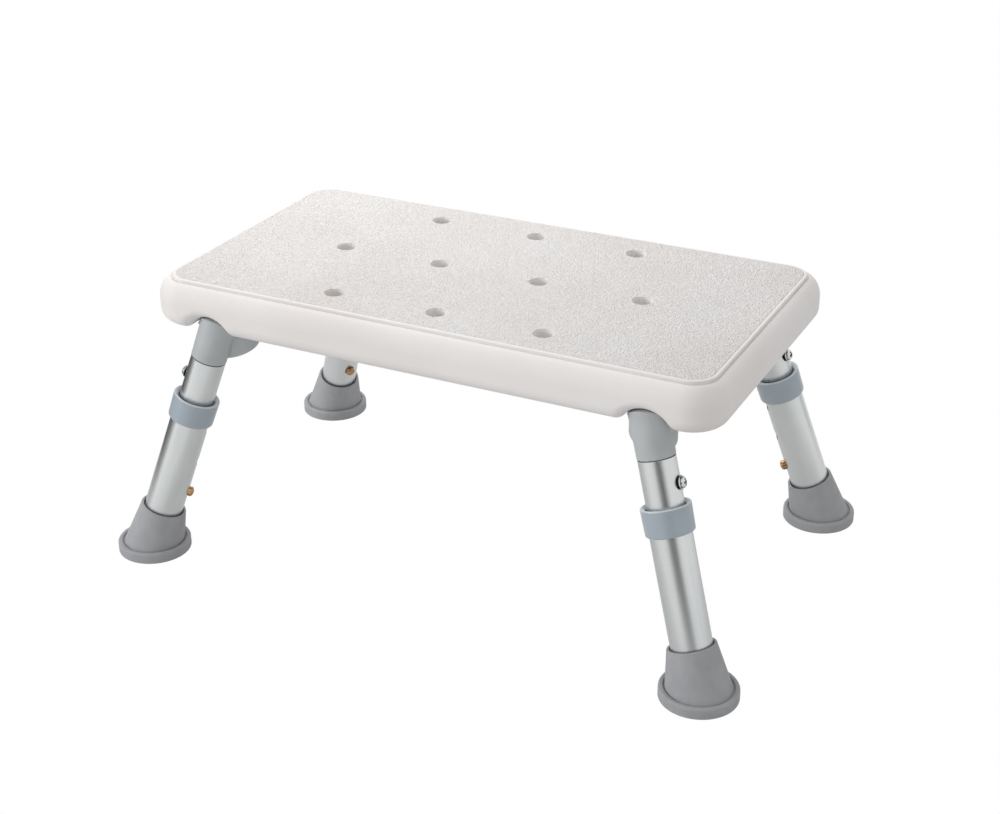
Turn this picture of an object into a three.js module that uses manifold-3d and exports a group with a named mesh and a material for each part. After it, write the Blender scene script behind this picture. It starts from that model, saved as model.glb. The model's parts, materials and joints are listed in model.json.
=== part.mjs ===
// Height-adjustable shower stool: a blow-moulded seat on four splayed telescopic legs.
// Millimetres, +Z up. The origin is on the floor, under the middle of the seat.
import * as THREE from 'three';
import { mergeVertices } from 'three/addons/utils/BufferGeometryUtils.js';
import { ConvexGeometry } from 'three/addons/geometries/ConvexGeometry.js';
import Module from 'manifold-3d';

const wasm = await Module();
wasm.setup();

// ---------------------------------------------------------------- driving dimensions

// Stance
const TOP_HEIGHT = 210;             // floor to the standing surface, legs at their shortest
const HEIGHT_STEP = 25;             // height gained from one locking hole to the next
const LEG_LEAN = 19.5;              // degrees between a leg and the vertical
const LEG_HEADING = 29;             // degrees from the seat's long axis to the way a leg leans
const LEG_END_INSET = 60;           // leg axis in from the seat's end, at the standing surface
const LEG_SIDE_INSET = 20.8;        // leg axis in from the seat's long side, at the same height

// Seat: hollow moulding with a raised non-slip panel
const SEAT_LENGTH = 425;
const SEAT_WIDTH = 230;
const SEAT_THICKNESS = 32.9;        // rim to underside
const SEAT_CORNER = 26;
const SEAT_WALL = 3;
const SHOULDER_WIDTH = 12;          // rounding of the top edge, seen from above
const SHOULDER_HEIGHT = 15;         // the same rounding, seen from the side
const BELLY_ROUND = 10.5;           // rounding of the bottom edge
const PANEL_INSET = 9.5;
const PANEL_RISE = 1.2;
const PANEL_CORNER = 18;
const PANEL_EDGE = 0.6;             // softened edge of the panel

// Drain holes: rows of three, four and three
const DRAIN_ROWS = [3, 4, 3];
const DRAIN_ROW_SPACING = 78.2;
const OUTER_ROW_PITCH = 79;
const MIDDLE_ROW_PITCH = 77.4;
const DRAIN_RADIUS = 6.2;
const DRAIN_LIP = 1.6;              // rounding of the hole's upper lip
const DRAIN_WEB = 8;                // seat thickness left at the hole, above the funnel
const FUNNEL_RADIUS = 13;           // funnel that pinches the underside up to the top wall
const FUNNEL_TOP_RADIUS = 8.5;
const BLOW_HOLE_RADIUS = 4;         // where the blow pin entered the underside

// Notch and pocket for each leg socket
const NOTCH_RADIUS = 19;
const NOTCH_RISE = 10.4;            // top of the arch above the underside
const NOTCH_OFFSET = 0.7;           // arch towards the seat's end, from the leg axis
const NOTCH_FOOT_ROUND = 8;
const NOTCH_MOUTH_ROUND = 5;        // rounding of the arch's edge into the seat's side
const POCKET_GAP = 0.4;             // socket to seat, all round

// Leg socket
const STUB_RADIUS = 12.7;           // at the seam with the tube
const STUB_TOP_RADIUS = 13.2;       // at the underside of the seat
const STUB_LENGTH = 24.4;           // seam to the underside of the seat, along the leg
const HEEL_REACH = 5.6;             // heel that thickens the stub's top towards the hub
const HEEL_DEPTH = 7;
const HEEL_END_RADIUS = 9.5;
const HUB_RADIUS = 15.9;
const HUB_SETBACK = 17.1;           // hub towards the seat's middle line, from the leg axis
const HUB_OFFSET = 3.7;             // hub towards the seat's middle, along its length
const HUB_DROP = 22.8;              // underside of the seat to the middle of the hub's bottom
const HUB_TILT = 9;                 // degrees that the bottom falls towards the leg
const HUB_EDGE = 1.2;
const SADDLE_REACH = 17;            // saddle towards the side of the seat, from the hub
const SPIGOT_LENGTH = 28;
const SPIGOT_WALL = 2.6;
const SPIGOT_TAPER = 1;

// Tubes
const TUBE_OUTER_RADIUS = 14;       // lower, outer tube
const TUBE_WALL = 1.2;
const TUBE_PLAY = 0.3;              // inner tube to outer tube, per side
const INNER_TAIL = 12;              // inner tube below the locking button
const FIT_GAP = 0.3;                // between two pieces that seat on each other

// Collar on top of the outer tube
const COLLAR_HEIGHT = 18.7;
const COLLAR_RADIUS = 16.7;
const COLLAR_FOOT_RADIUS = 16.3;
const COLLAR_RIM = 1.1;             // level rim round the funnel
const COLLAR_EDGE = 0.6;            // rounding outside the rim
const COLLAR_FUNNEL = 2.1;          // depth of the funnel that leads in to the inner tube
const COLLAR_LIP = 3.5;             // lip over the end of the outer tube
const COLLAR_PLAY = 0.6;            // lip to inner tube
const COLLAR_CHAMFER = 1.2;         // at the collar's foot
const COLLAR_HOLE_MARGIN = 5.6;     // collar to the highest locking hole
const COLLAR_SCREW_ROOM = 4;        // least room from the tube screw's head to the collar

// Locking button and its spring
const BUTTON_RADIUS = 3.6;
const BUTTON_PLAY = 0.3;            // button to the hole in the inner tube
const LOCKING_HOLE_PLAY = 0.5;      // button to a hole in the outer tube
const BUTTON_PROUD = 3.8;           // button out of the outer tube
const BUTTON_DOME = 2;
const BUTTON_FLANGE = 0.9;          // wider than the button's shank
const BUTTON_FLANGE_HEIGHT = 0.8;
const BUTTON_ABOVE_FOOT = 17.2;     // lowest locking hole above the rim of the foot
const SPRING_THICKNESS = 0.7;
const SPRING_WIDTH = 6;
const SPRING_LENGTH = 26;           // button to the outside of the bend
const SPRING_BEND = 3.4;            // inside radius of the bend

// Screw through the inner tube into the spigot
const TUBE_SCREW_BELOW_SEAM = 17.8;
const TUBE_SCREW_HEAD_RADIUS = 4.7;
const TUBE_SCREW_HEAD_HEIGHT = 3.9;
const TUBE_SCREW_RIM = 1;           // upright edge of the head, below its dome
const TUBE_SCREW_RADIUS = 2.1;
const TUBE_SCREW_LENGTH = 8;
const SCREW_HOLE_PLAY = 0.3;
const CROSS_WIDTH = 1.3;
const CROSS_SPAN = 5;
const CROSS_DEPTH = 1.8;

// Bolt up through the hub into a brass insert in the seat
const BOLT_RADIUS = 2.9;
const BOLT_HEAD_RADIUS = 5;
const BOLT_HEAD_HEIGHT = 4;
const BOLT_KEY = 2.6;               // hexagon socket, centre to corner
const BOLT_KEY_DEPTH = 2.2;
const BOLT_GRIP = 20;               // hub left above the bolt's head
const BOLT_EDGE = 0.5;
const HEAD_WELL_PLAY = 0.8;
const INSERT_WALL = 1.6;
const INSERT_LENGTH = 12;
const INSERT_WAIST = 3;             // groove that keys the insert into the moulding

// Rubber foot
const FOOT_HEIGHT = 36.3;           // floor to rim, along the leg
const FOOT_RIM_WALL = 2.3;
const FOOT_RIM_EDGE = 0.8;
const FOOT_MOUTH_FLARE = 0.5;       // widening of the bore at the rim
const FOOT_MOUTH_DEPTH = 1.5;
const FOOT_CONE_RADIUS = 22.3;      // where the cone meets the flange
const FLANGE_RADIUS = 26.6;
const FLANGE_HEIGHT = 8;
const FLANGE_ROUND = 1.2;
const SOLE_DEPTH = 12;              // floor to the bottom of the tube's bore, along the leg
const DISC_THICKNESS = 1.6;         // steel disc under the end of the tube
const GROOVE_RADIUS = 14;           // inner edge of the ring groove in the sole
const GROOVE_WIDTH = 3;
const GROOVE_DEPTH = 1.4;

// Facets
const ROUND = 20;                   // around a tube
const HOLE_ROUND = 12;              // around a drain hole or a button
const SMALL_ROUND = 10;             // around a screw
const ARC = 4;                      // along a quarter turn
const ARCH_ROUND = 12;              // over a notch's arch

// ---------------------------------------------------------------- sizes that follow

const lean = THREE.MathUtils.degToRad(LEG_LEAN);
const heading = THREE.MathUtils.degToRad(LEG_HEADING);
const rimTop = TOP_HEIGHT - PANEL_RISE;
const underside = rimTop - SEAT_THICKNESS;
const legRootX = SEAT_LENGTH / 2 - LEG_END_INSET;
const legRootY = SEAT_WIDTH / 2 - LEG_SIDE_INSET;
const legRoot = new THREE.Vector3(legRootX, legRootY, TOP_HEIGHT);
const legTilt = new THREE.Matrix4().makeRotationY(-lean);
const legTurn = new THREE.Matrix4().makeRotationZ(heading).multiply(legTilt);
const legPlace = new THREE.Matrix4().makeTranslation(legRoot).multiply(legTurn);

// Stations are measured down the leg axis from the standing surface.
const stationAt = (height) => (TOP_HEIGHT - height) / Math.cos(lean);
const floorStation = stationAt(0);
const undersideStation = stationAt(underside);
const seamStation = undersideStation + STUB_LENGTH;
const rimStation = floorStation - FOOT_HEIGHT;
const buttonStation = rimStation - BUTTON_ABOVE_FOOT;
const tubeScrewStation = seamStation + TUBE_SCREW_BELOW_SEAM;

// As many locking holes as fit between the foot and the collar, which stays below the tube screw.
const holePitch = HEIGHT_STEP / Math.cos(lean);
const highestCollar = tubeScrewStation + TUBE_SCREW_HEAD_RADIUS + COLLAR_SCREW_ROOM;
const highestHole = highestCollar + COLLAR_HEIGHT + COLLAR_HOLE_MARGIN;
const lockingHoles = 1 + Math.floor((buttonStation - highestHole) / holePitch);
const topHoleStation = buttonStation - (lockingHoles - 1) * holePitch;
const collarStation = topHoleStation - COLLAR_HOLE_MARGIN - COLLAR_HEIGHT;
const outerTubeTop = collarStation + COLLAR_LIP + FIT_GAP;
const boreStation = floorStation - SOLE_DEPTH;
const discStation = boreStation - FIT_GAP - DISC_THICKNESS;
const outerTubeEnd = discStation - FIT_GAP;
const innerTubeTop = seamStation + FIT_GAP;
const innerTubeEnd = buttonStation + INNER_TAIL;

const outerBore = TUBE_OUTER_RADIUS - TUBE_WALL;
const innerRadius = outerBore - TUBE_PLAY;
const innerBore = innerRadius - TUBE_WALL;
const spigotRadius = innerBore - FIT_GAP;

// A place on the leg axis with its Z up the leg, at a station.
function onLeg(station) {
  return legPlace.clone().multiply(new THREE.Matrix4().makeTranslation(0, 0, -station));
}

// Where the leg axis passes a height, in the corner of the seat with positive X and Y.
function legAxisAt(height) {
  return new THREE.Vector3(0, 0, -stationAt(height)).applyMatrix4(legPlace);
}

const legCrossing = legAxisAt(underside);
const hub = new THREE.Vector2(legCrossing.x - HUB_OFFSET, legCrossing.y - HUB_SETBACK);
const notchApex = underside + NOTCH_RISE;
const notchCentre = notchApex - NOTCH_RADIUS;
const notchMiddle = legCrossing.x + NOTCH_OFFSET;
const sideFace = SEAT_WIDTH / 2;
const insertRadius = BOLT_RADIUS + FIT_GAP + INSERT_WALL;
const headSeat = notchApex - POCKET_GAP - BOLT_GRIP;
const footCentre = legAxisAt(FLANGE_HEIGHT);
const flangeRadius = BUTTON_RADIUS + BUTTON_FLANGE;
const flangeSeat = Math.sqrt(innerBore ** 2 - flangeRadius ** 2) - FIT_GAP;

// The tube screw's head looks along the seat's length, square to the leg.
const tubeScrewTurn = Math.atan2(-Math.sin(heading), Math.cos(lean) * Math.cos(heading));

// ---------------------------------------------------------------- making solids

function solid(geometry) {
  const bare = new THREE.BufferGeometry();
  bare.setAttribute('position', geometry.getAttribute('position'));
  bare.setIndex(geometry.getIndex());
  const merged = mergeVertices(bare, 1e-4);
  const index = merged.getIndex().array;
  const triangles = [];
  for (let i = 0; i < index.length; i += 3) {
    const [a, b, c] = [index[i], index[i + 1], index[i + 2]];
    if (a !== b && b !== c && c !== a) triangles.push(a, b, c);
  }
  const vertProperties = Float32Array.from(merged.getAttribute('position').array);
  const triVerts = Uint32Array.from(triangles);
  return new wasm.Manifold(new wasm.Mesh({ numProp: 3, vertProperties, triVerts }));
}

function geometryOf(shape) {
  const mesh = shape.getMesh();
  const geometry = new THREE.BufferGeometry();
  geometry.setAttribute('position', new THREE.BufferAttribute(mesh.vertProperties, 3));
  geometry.setIndex(new THREE.BufferAttribute(mesh.triVerts, 1));
  geometry.computeVertexNormals();
  return geometry;
}

// A profile of [radius, height] points, anticlockwise seen with the axis on the left.
function revolved(profile, segments = ROUND) {
  const points = profile.map(([radius, height]) => new THREE.Vector2(radius, height));
  return new THREE.LatheGeometry(points, segments).rotateX(Math.PI / 2);
}

// A profile that goes round a hole through the middle closes on its own first point.
function ring(profile, segments = ROUND) {
  return revolved([...profile, profile[0]], segments);
}

function rod(radius, low, high, segments = ROUND) {
  return revolved([[0, low], [radius, low], [radius, high], [0, high]], segments);
}

// Points round a circle that a matrix puts in its place, as corners for a convex solid.
function circleAt(radius, place) {
  return Array.from({ length: ROUND }, (_, i) => {
    const angle = (i / ROUND) * 2 * Math.PI;
    return new THREE.Vector3(radius * Math.cos(angle), radius * Math.sin(angle), 0).applyMatrix4(place);
  });
}

// Points on a quarter of an ellipse about [x, y], from one angle to another, in degrees.
function arc(x, y, radiusX, radiusY, from, to, steps = ARC) {
  const points = [];
  for (let i = 0; i <= steps; i += 1) {
    const angle = THREE.MathUtils.degToRad(from + ((to - from) * i) / steps);
    points.push([x + radiusX * Math.cos(angle), y + radiusY * Math.sin(angle)]);
  }
  return points;
}

function roundedRectangle(length, width, corner) {
  const [x, y] = [length / 2 - corner, width / 2 - corner];
  const shape = new THREE.Shape();
  shape.absarc(x, y, corner, 0, Math.PI / 2, false);
  shape.absarc(-x, y, corner, Math.PI / 2, Math.PI, false);
  shape.absarc(-x, -y, corner, Math.PI, Math.PI * 1.5, false);
  shape.absarc(x, -y, corner, Math.PI * 1.5, Math.PI * 2, false);
  shape.closePath();
  return shape;
}

// An outline extruded from one height to another, with both ends rounded over.
function pillow(outline, low, high, roundWidth, roundHeight, steps = ARC) {
  const geometry = new THREE.ExtrudeGeometry(outline, {
    depth: high - low - 2 * roundHeight,
    bevelSize: roundWidth,
    bevelOffset: -roundWidth,
    bevelThickness: roundHeight,
    bevelSegments: steps,
    curveSegments: ARC,
  });
  return geometry.translate(0, 0, low + roundHeight);
}

// ---------------------------------------------------------------- seat

// The seat's outside, or its inside once every face has moved in by the wall.
function seatBody(inset) {
  const outline = roundedRectangle(SEAT_LENGTH - 2 * inset, SEAT_WIDTH - 2 * inset, SEAT_CORNER - inset);
  const [top, bottom] = [rimTop - inset, underside + inset];
  const shoulderHeight = SHOULDER_HEIGHT - inset;
  const belly = BELLY_ROUND - inset;
  const shouldered = pillow(outline, bottom - SHOULDER_HEIGHT, top, SHOULDER_WIDTH - inset, shoulderHeight);
  const bellied = pillow(outline, bottom, top + BELLY_ROUND, belly, belly, ARC - 1);
  return solid(shouldered).intersect(solid(bellied));
}

function seatPanel() {
  const [length, width] = [SEAT_LENGTH - 2 * PANEL_INSET, SEAT_WIDTH - 2 * PANEL_INSET];
  const outline = roundedRectangle(length, width, PANEL_CORNER);
  return solid(pillow(outline, rimTop - SEAT_WALL, TOP_HEIGHT, PANEL_EDGE, PANEL_EDGE, 2));
}

function drainPlaces() {
  const middle = (DRAIN_ROWS.length - 1) / 2;
  return DRAIN_ROWS.flatMap((count, row) => {
    const pitch = row === middle ? MIDDLE_ROW_PITCH : OUTER_ROW_PITCH;
    const y = (row - middle) * DRAIN_ROW_SPACING;
    return Array.from({ length: count }, (_, i) => [(i - (count - 1) / 2) * pitch, y]);
  });
}

// The hole and the funnel below it, which taper the underside up to the top wall.
function drainCut() {
  const web = TOP_HEIGHT - DRAIN_WEB;
  const lip = arc(DRAIN_RADIUS + DRAIN_LIP, TOP_HEIGHT - DRAIN_LIP, DRAIN_LIP, DRAIN_LIP, 180, 90, 2);
  return solid(revolved([
    [0, underside - 1],
    [FUNNEL_RADIUS, underside - 1],
    [FUNNEL_RADIUS, underside],
    [FUNNEL_TOP_RADIUS, web],
    [DRAIN_RADIUS, web],
    ...lip,
    [DRAIN_RADIUS + DRAIN_LIP, TOP_HEIGHT + 1],
    [0, TOP_HEIGHT + 1],
  ], HOLE_ROUND));
}

// The material round a funnel, from the underside to the top wall.
function drainColumn() {
  return solid(revolved([
    [0, underside],
    [FUNNEL_RADIUS + SEAT_WALL, underside],
    [FUNNEL_TOP_RADIUS + SEAT_WALL, TOP_HEIGHT - DRAIN_WEB],
    [FUNNEL_TOP_RADIUS + SEAT_WALL, rimTop],
    [0, rimTop],
  ], HOLE_ROUND));
}

// The arch of a notch seen along Y, as [x, z] points: round on top, with rounded feet.
function archOutline(radius, foot) {
  const footHeight = underside + foot - notchCentre;
  const footReach = Math.sqrt((radius + foot) ** 2 - footHeight ** 2);
  const spring = THREE.MathUtils.radToDeg(Math.atan2(footHeight, footReach));
  const low = underside - 1;
  return [
    [footReach, low],
    ...arc(footReach, underside + foot, foot, foot, 270, 180 + spring),
    ...arc(0, notchCentre, radius, radius, spring, 180 - spring, ARCH_ROUND).slice(1, -1),
    ...arc(-footReach, underside + foot, foot, foot, -spring, -90),
    [-footReach, low],
  ];
}

// A solid through outlines of [x, z] points, as many in each, from a low place along Y to a high one.
function loftAlongY(sections) {
  const count = sections[0].outline.length;
  const lastRing = (sections.length - 1) * count;
  const index = [];
  for (let ringStart = 0; ringStart < lastRing; ringStart += count) {
    for (let i = 0; i < count; i += 1) {
      const [here, next] = [ringStart + i, ringStart + ((i + 1) % count)];
      index.push(here, next + count, next);
      index.push(here, here + count, next + count);
    }
  }
  const contour = sections[0].outline.map(([x, z]) => new THREE.Vector2(x, z));
  for (const [a, b, c] of THREE.ShapeUtils.triangulateShape(contour, [])) {
    index.push(a, b, c);
    index.push(lastRing + a, lastRing + c, lastRing + b);
  }
  const corners = sections.flatMap(({ y, outline }) => outline.flatMap(([x, z]) => [x, y, z]));
  const geometry = new THREE.BufferGeometry();
  geometry.setAttribute('position', new THREE.Float32BufferAttribute(corners, 3));
  geometry.setIndex(index);
  return geometry;
}

// The pocket for a leg socket, or the same pocket with a wall round it. Its arch widens at
// the seat's side, where its edge is rounded over.
function pocket(grow) {
  const lip = NOTCH_MOUTH_ROUND - grow;
  const mouth = arc(NOTCH_MOUTH_ROUND, sideFace - NOTCH_MOUTH_ROUND, lip, lip, 180, 90, 3);
  const steps = [[grow, hub.y], ...mouth, [NOTCH_MOUTH_ROUND, sideFace + 1]];
  const channel = loftAlongY(steps.map(([wider, y]) => {
    const outline = archOutline(NOTCH_RADIUS + wider, NOTCH_FOOT_ROUND - wider);
    return { y, outline };
  }));
  channel.translate(notchMiddle, 0, 0);
  const well = rod(HUB_RADIUS + POCKET_GAP + grow, underside - 1, notchApex + grow);
  well.translate(hub.x, hub.y, 0);
  return solid(channel).add(solid(well));
}

// One solid copied into the four corners of the seat.
function inFourCorners(shape) {
  const both = shape.add(shape.mirror([1, 0, 0]));
  return both.add(both.mirror([0, 1, 0]));
}

function makeSeat() {
  const insertTop = notchApex + INSERT_LENGTH;
  const insertHole = solid(rod(insertRadius + FIT_GAP, notchApex - 1, insertTop + FIT_GAP, SMALL_ROUND));
  const insertBoss = solid(rod(insertRadius + SEAT_WALL, notchApex, rimTop, SMALL_ROUND));
  const onHub = [hub.x, hub.y, 0];
  const pocketWall = pocket(SEAT_WALL).add(insertBoss.translate(onHub));
  let hollow = seatBody(SEAT_WALL).subtract(inFourCorners(pocketWall));
  let cuts = inFourCorners(pocket(0).add(insertHole.translate(onHub)));
  const [column, drain] = [drainColumn(), drainCut()];
  for (const [x, y] of drainPlaces()) {
    hollow = hollow.subtract(column.translate([x, y, 0]));
    cuts = cuts.add(drain.translate([x, y, 0]));
  }
  const blowHole = solid(rod(BLOW_HOLE_RADIUS, underside - 1, underside + SEAT_WALL + 1, SMALL_ROUND));
  return seatBody(0).add(seatPanel()).subtract(hollow).subtract(cuts).subtract(blowHole);
}

// ---------------------------------------------------------------- leg socket

function makeSocket() {
  const hubTop = notchApex - POCKET_GAP;
  const hubBottom = underside - HUB_DROP;
  const fall = Math.tan(THREE.MathUtils.degToRad(HUB_TILT));
  const [fallX, fallY] = [fall * Math.cos(heading), fall * Math.sin(heading)];
  const slope = new THREE.Matrix4().makeShear(0, -fallX, 0, -fallY, 0, 0);
  const atHub = (height) => new THREE.Matrix4().makeTranslation(hub.x, hub.y, height);
  const body = solid(new ConvexGeometry([
    ...circleAt(HUB_RADIUS - HUB_EDGE, atHub(hubBottom).multiply(slope)),
    ...circleAt(HUB_RADIUS, atHub(hubBottom + HUB_EDGE).multiply(slope)),
    ...circleAt(HUB_RADIUS, atHub(hubTop)),
  ]));

  const saddleRadius = NOTCH_RADIUS - POCKET_GAP;
  const saddle = new THREE.CylinderGeometry(saddleRadius, saddleRadius, SADDLE_REACH, ROUND);
  saddle.translate(notchMiddle, hub.y + SADDLE_REACH / 2, notchCentre);
  const envelope = new THREE.CylinderGeometry(saddleRadius, saddleRadius, 4 * HUB_RADIUS, ROUND);
  envelope.translate(notchMiddle, hub.y + HUB_RADIUS, notchCentre);
  const roomy = 8 * HUB_RADIUS;
  const below = new THREE.BoxGeometry(roomy, roomy, roomy);
  below.translate(legCrossing.x, hub.y, underside - POCKET_GAP - roomy / 2);
  const above = new THREE.BoxGeometry(roomy, roomy, roomy);
  above.translate(legCrossing.x, hub.y, underside + roomy / 2);

  const stubTop = -undersideStation;
  const stub = revolved([
    [0, -seamStation],
    [STUB_RADIUS, -seamStation],
    [STUB_TOP_RADIUS, stubTop],
    [STUB_TOP_RADIUS, stubTop + 2 * NOTCH_RISE],
    [0, stubTop + 2 * NOTCH_RISE],
  ]);
  stub.applyMatrix4(legPlace);
  const towardsHub = (station, reach) => {
    const shift = hub.clone().sub(legCrossing).setLength(reach);
    return new THREE.Matrix4().makeTranslation(shift.x, shift.y, 0).multiply(onLeg(station));
  };
  const heelEnd = towardsHub(undersideStation + HEEL_DEPTH, STUB_TOP_RADIUS - HEEL_END_RADIUS);
  const heel = new ConvexGeometry([
    ...circleAt(STUB_TOP_RADIUS, towardsHub(undersideStation, HEEL_REACH)),
    ...circleAt(HEEL_END_RADIUS, heelEnd),
  ]);
  const spigotEnd = -seamStation - SPIGOT_LENGTH;
  const spigot = revolved([
    [0, spigotEnd],
    [spigotRadius - SPIGOT_TAPER, spigotEnd],
    [spigotRadius, spigotEnd + 2 * SPIGOT_TAPER],
    [spigotRadius, 1 - seamStation],
    [0, 1 - seamStation],
  ]);
  spigot.applyMatrix4(legPlace);
  const core = rod(spigotRadius - SPIGOT_WALL, spigotEnd - 1, -seamStation, HOLE_ROUND);
  core.applyMatrix4(legPlace);
  const screwHole = rod(TUBE_SCREW_RADIUS + SCREW_HOLE_PLAY, 0, TUBE_OUTER_RADIUS, SMALL_ROUND);
  screwHole.rotateY(Math.PI / 2).rotateZ(tubeScrewTurn).translate(0, 0, -tubeScrewStation);
  screwHole.applyMatrix4(legPlace);

  const inNotch = solid(envelope).add(solid(below));
  const arm = solid(stub).add(solid(heel)).intersect(inNotch);
  const seatSide = solid(saddle).intersect(solid(above));
  const boltHole = solid(revolved([
    [0, underside - 2 * HUB_DROP],
    [BOLT_HEAD_RADIUS + HEAD_WELL_PLAY, underside - 2 * HUB_DROP],
    [BOLT_HEAD_RADIUS + HEAD_WELL_PLAY, headSeat],
    [BOLT_RADIUS + SCREW_HOLE_PLAY, headSeat],
    [BOLT_RADIUS + SCREW_HOLE_PLAY, hubTop + 1],
    [0, hubTop + 1],
  ], SMALL_ROUND)).translate([hub.x, hub.y, 0]);
  return body.add(arm).add(seatSide).add(solid(spigot)).subtract(solid(core)).subtract(solid(screwHole))
    .subtract(boltHole);
}

// Bolt and insert stand on the hub's axis, with their heights measured from the floor.
function makeBolt() {
  const headTop = headSeat - FIT_GAP;
  const headBottom = headTop - BOLT_HEAD_HEIGHT;
  const bolt = solid(revolved([
    [0, headBottom],
    [BOLT_HEAD_RADIUS - BOLT_EDGE, headBottom],
    [BOLT_HEAD_RADIUS, headBottom + BOLT_EDGE],
    [BOLT_HEAD_RADIUS, headTop],
    [BOLT_RADIUS, headTop],
    [BOLT_RADIUS, notchApex + INSERT_LENGTH - BOLT_EDGE],
    [BOLT_RADIUS - BOLT_EDGE, notchApex + INSERT_LENGTH],
    [0, notchApex + INSERT_LENGTH],
  ], SMALL_ROUND));
  const key = new THREE.CylinderGeometry(BOLT_KEY, BOLT_KEY, 2 * BOLT_KEY_DEPTH, 6);
  key.rotateX(Math.PI / 2).translate(0, 0, headBottom);
  return bolt.subtract(solid(key));
}

function makeInsert() {
  const waistLow = notchApex + INSERT_LENGTH / 2 - INSERT_WAIST / 2;
  return solid(ring([
    [BOLT_RADIUS + FIT_GAP, notchApex],
    [insertRadius, notchApex],
    [insertRadius, waistLow],
    [insertRadius - INSERT_WALL / 2, waistLow],
    [insertRadius - INSERT_WALL / 2, waistLow + INSERT_WAIST],
    [insertRadius, waistLow + INSERT_WAIST],
    [insertRadius, notchApex + INSERT_LENGTH],
    [BOLT_RADIUS + FIT_GAP, notchApex + INSERT_LENGTH],
  ], SMALL_ROUND));
}

// ---------------------------------------------------------------- tubes and collar

// Each piece on a leg hangs from its own origin, at its upper end on the leg's axis.
function tube(bore, radius, length) {
  return solid(ring([[bore, -length], [radius, -length], [radius, 0], [bore, 0]]));
}

// A hole through the wall that faces the leg's inner side, at a depth below the origin.
function innerSideHole(radius, depth) {
  const drill = rod(radius, 0, 2 * TUBE_OUTER_RADIUS, HOLE_ROUND);
  drill.rotateY(-Math.PI / 2).translate(0, 0, -depth);
  return solid(drill);
}

function makeInnerTube() {
  const drill = rod(TUBE_SCREW_RADIUS + SCREW_HOLE_PLAY, 0, 2 * TUBE_OUTER_RADIUS, SMALL_ROUND);
  drill.rotateY(Math.PI / 2).rotateZ(tubeScrewTurn).translate(0, 0, innerTubeTop - tubeScrewStation);
  return tube(innerBore, innerRadius, innerTubeEnd - innerTubeTop)
    .subtract(innerSideHole(BUTTON_RADIUS + BUTTON_PLAY, buttonStation - innerTubeTop))
    .subtract(solid(drill));
}

function makeOuterTube() {
  let shape = tube(outerBore, TUBE_OUTER_RADIUS, outerTubeEnd - outerTubeTop);
  for (let i = 0; i < lockingHoles; i += 1) {
    const depth = topHoleStation + i * holePitch - outerTubeTop;
    shape = shape.subtract(innerSideHole(BUTTON_RADIUS + LOCKING_HOLE_PLAY, depth));
  }
  return shape;
}

function makeCollar() {
  const bore = TUBE_OUTER_RADIUS + FIT_GAP;
  const rim = COLLAR_RADIUS - COLLAR_EDGE;
  return solid(ring([
    [bore, -COLLAR_HEIGHT],
    [COLLAR_FOOT_RADIUS - COLLAR_CHAMFER, -COLLAR_HEIGHT],
    [COLLAR_FOOT_RADIUS, COLLAR_CHAMFER - COLLAR_HEIGHT],
    [COLLAR_RADIUS, -COLLAR_EDGE],
    [rim, 0],
    [rim - COLLAR_RIM, 0],
    [innerRadius + COLLAR_PLAY, -COLLAR_FUNNEL],
    [innerRadius + COLLAR_PLAY, -COLLAR_LIP],
    [bore, -COLLAR_LIP],
  ]));
}

// ---------------------------------------------------------------- foot

// Flat flange, and a cone that leans from it to the tilted rim round the tube.
function makeFoot() {
  const flange = solid(revolved([
    [0, 0],
    [FLANGE_RADIUS, 0],
    ...arc(FLANGE_RADIUS - FLANGE_ROUND, FLANGE_HEIGHT - FLANGE_ROUND, FLANGE_ROUND, FLANGE_ROUND, 0, 90, 2),
    [0, FLANGE_HEIGHT],
  ])).translate([footCentre.x, footCentre.y, 0]);

  const bore = TUBE_OUTER_RADIUS + FIT_GAP;
  const rimRadius = bore + FOOT_RIM_WALL;
  const coneBottom = FLANGE_HEIGHT - FLANGE_ROUND;
  const coneFoot = new THREE.Matrix4().makeTranslation(footCentre.x, footCentre.y, coneBottom);
  const cone = solid(new ConvexGeometry([
    ...circleAt(FOOT_CONE_RADIUS, coneFoot),
    ...circleAt(rimRadius, onLeg(rimStation + FOOT_RIM_EDGE)),
    ...circleAt(rimRadius - FOOT_RIM_EDGE, onLeg(rimStation)),
  ]));

  const hole = revolved([
    [0, -boreStation],
    [bore, -boreStation],
    [bore, -rimStation - FOOT_MOUTH_DEPTH],
    [bore + FOOT_MOUTH_FLARE, -rimStation],
    [bore + FOOT_MOUTH_FLARE, 1 - rimStation],
    [0, 1 - rimStation],
  ]);
  hole.applyMatrix4(legPlace);
  const groove = ring([
    [GROOVE_RADIUS, -1],
    [GROOVE_RADIUS + GROOVE_WIDTH, -1],
    [GROOVE_RADIUS + GROOVE_WIDTH, GROOVE_DEPTH],
    [GROOVE_RADIUS, GROOVE_DEPTH],
  ]);
  const sole = solid(groove).translate([footCentre.x, footCentre.y, 0]);
  return flange.add(cone).subtract(solid(hole)).subtract(sole);
}

function makeDisc() {
  return solid(rod(TUBE_OUTER_RADIUS, -DISC_THICKNESS, 0));
}

// ---------------------------------------------------------------- fasteners and lock

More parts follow.
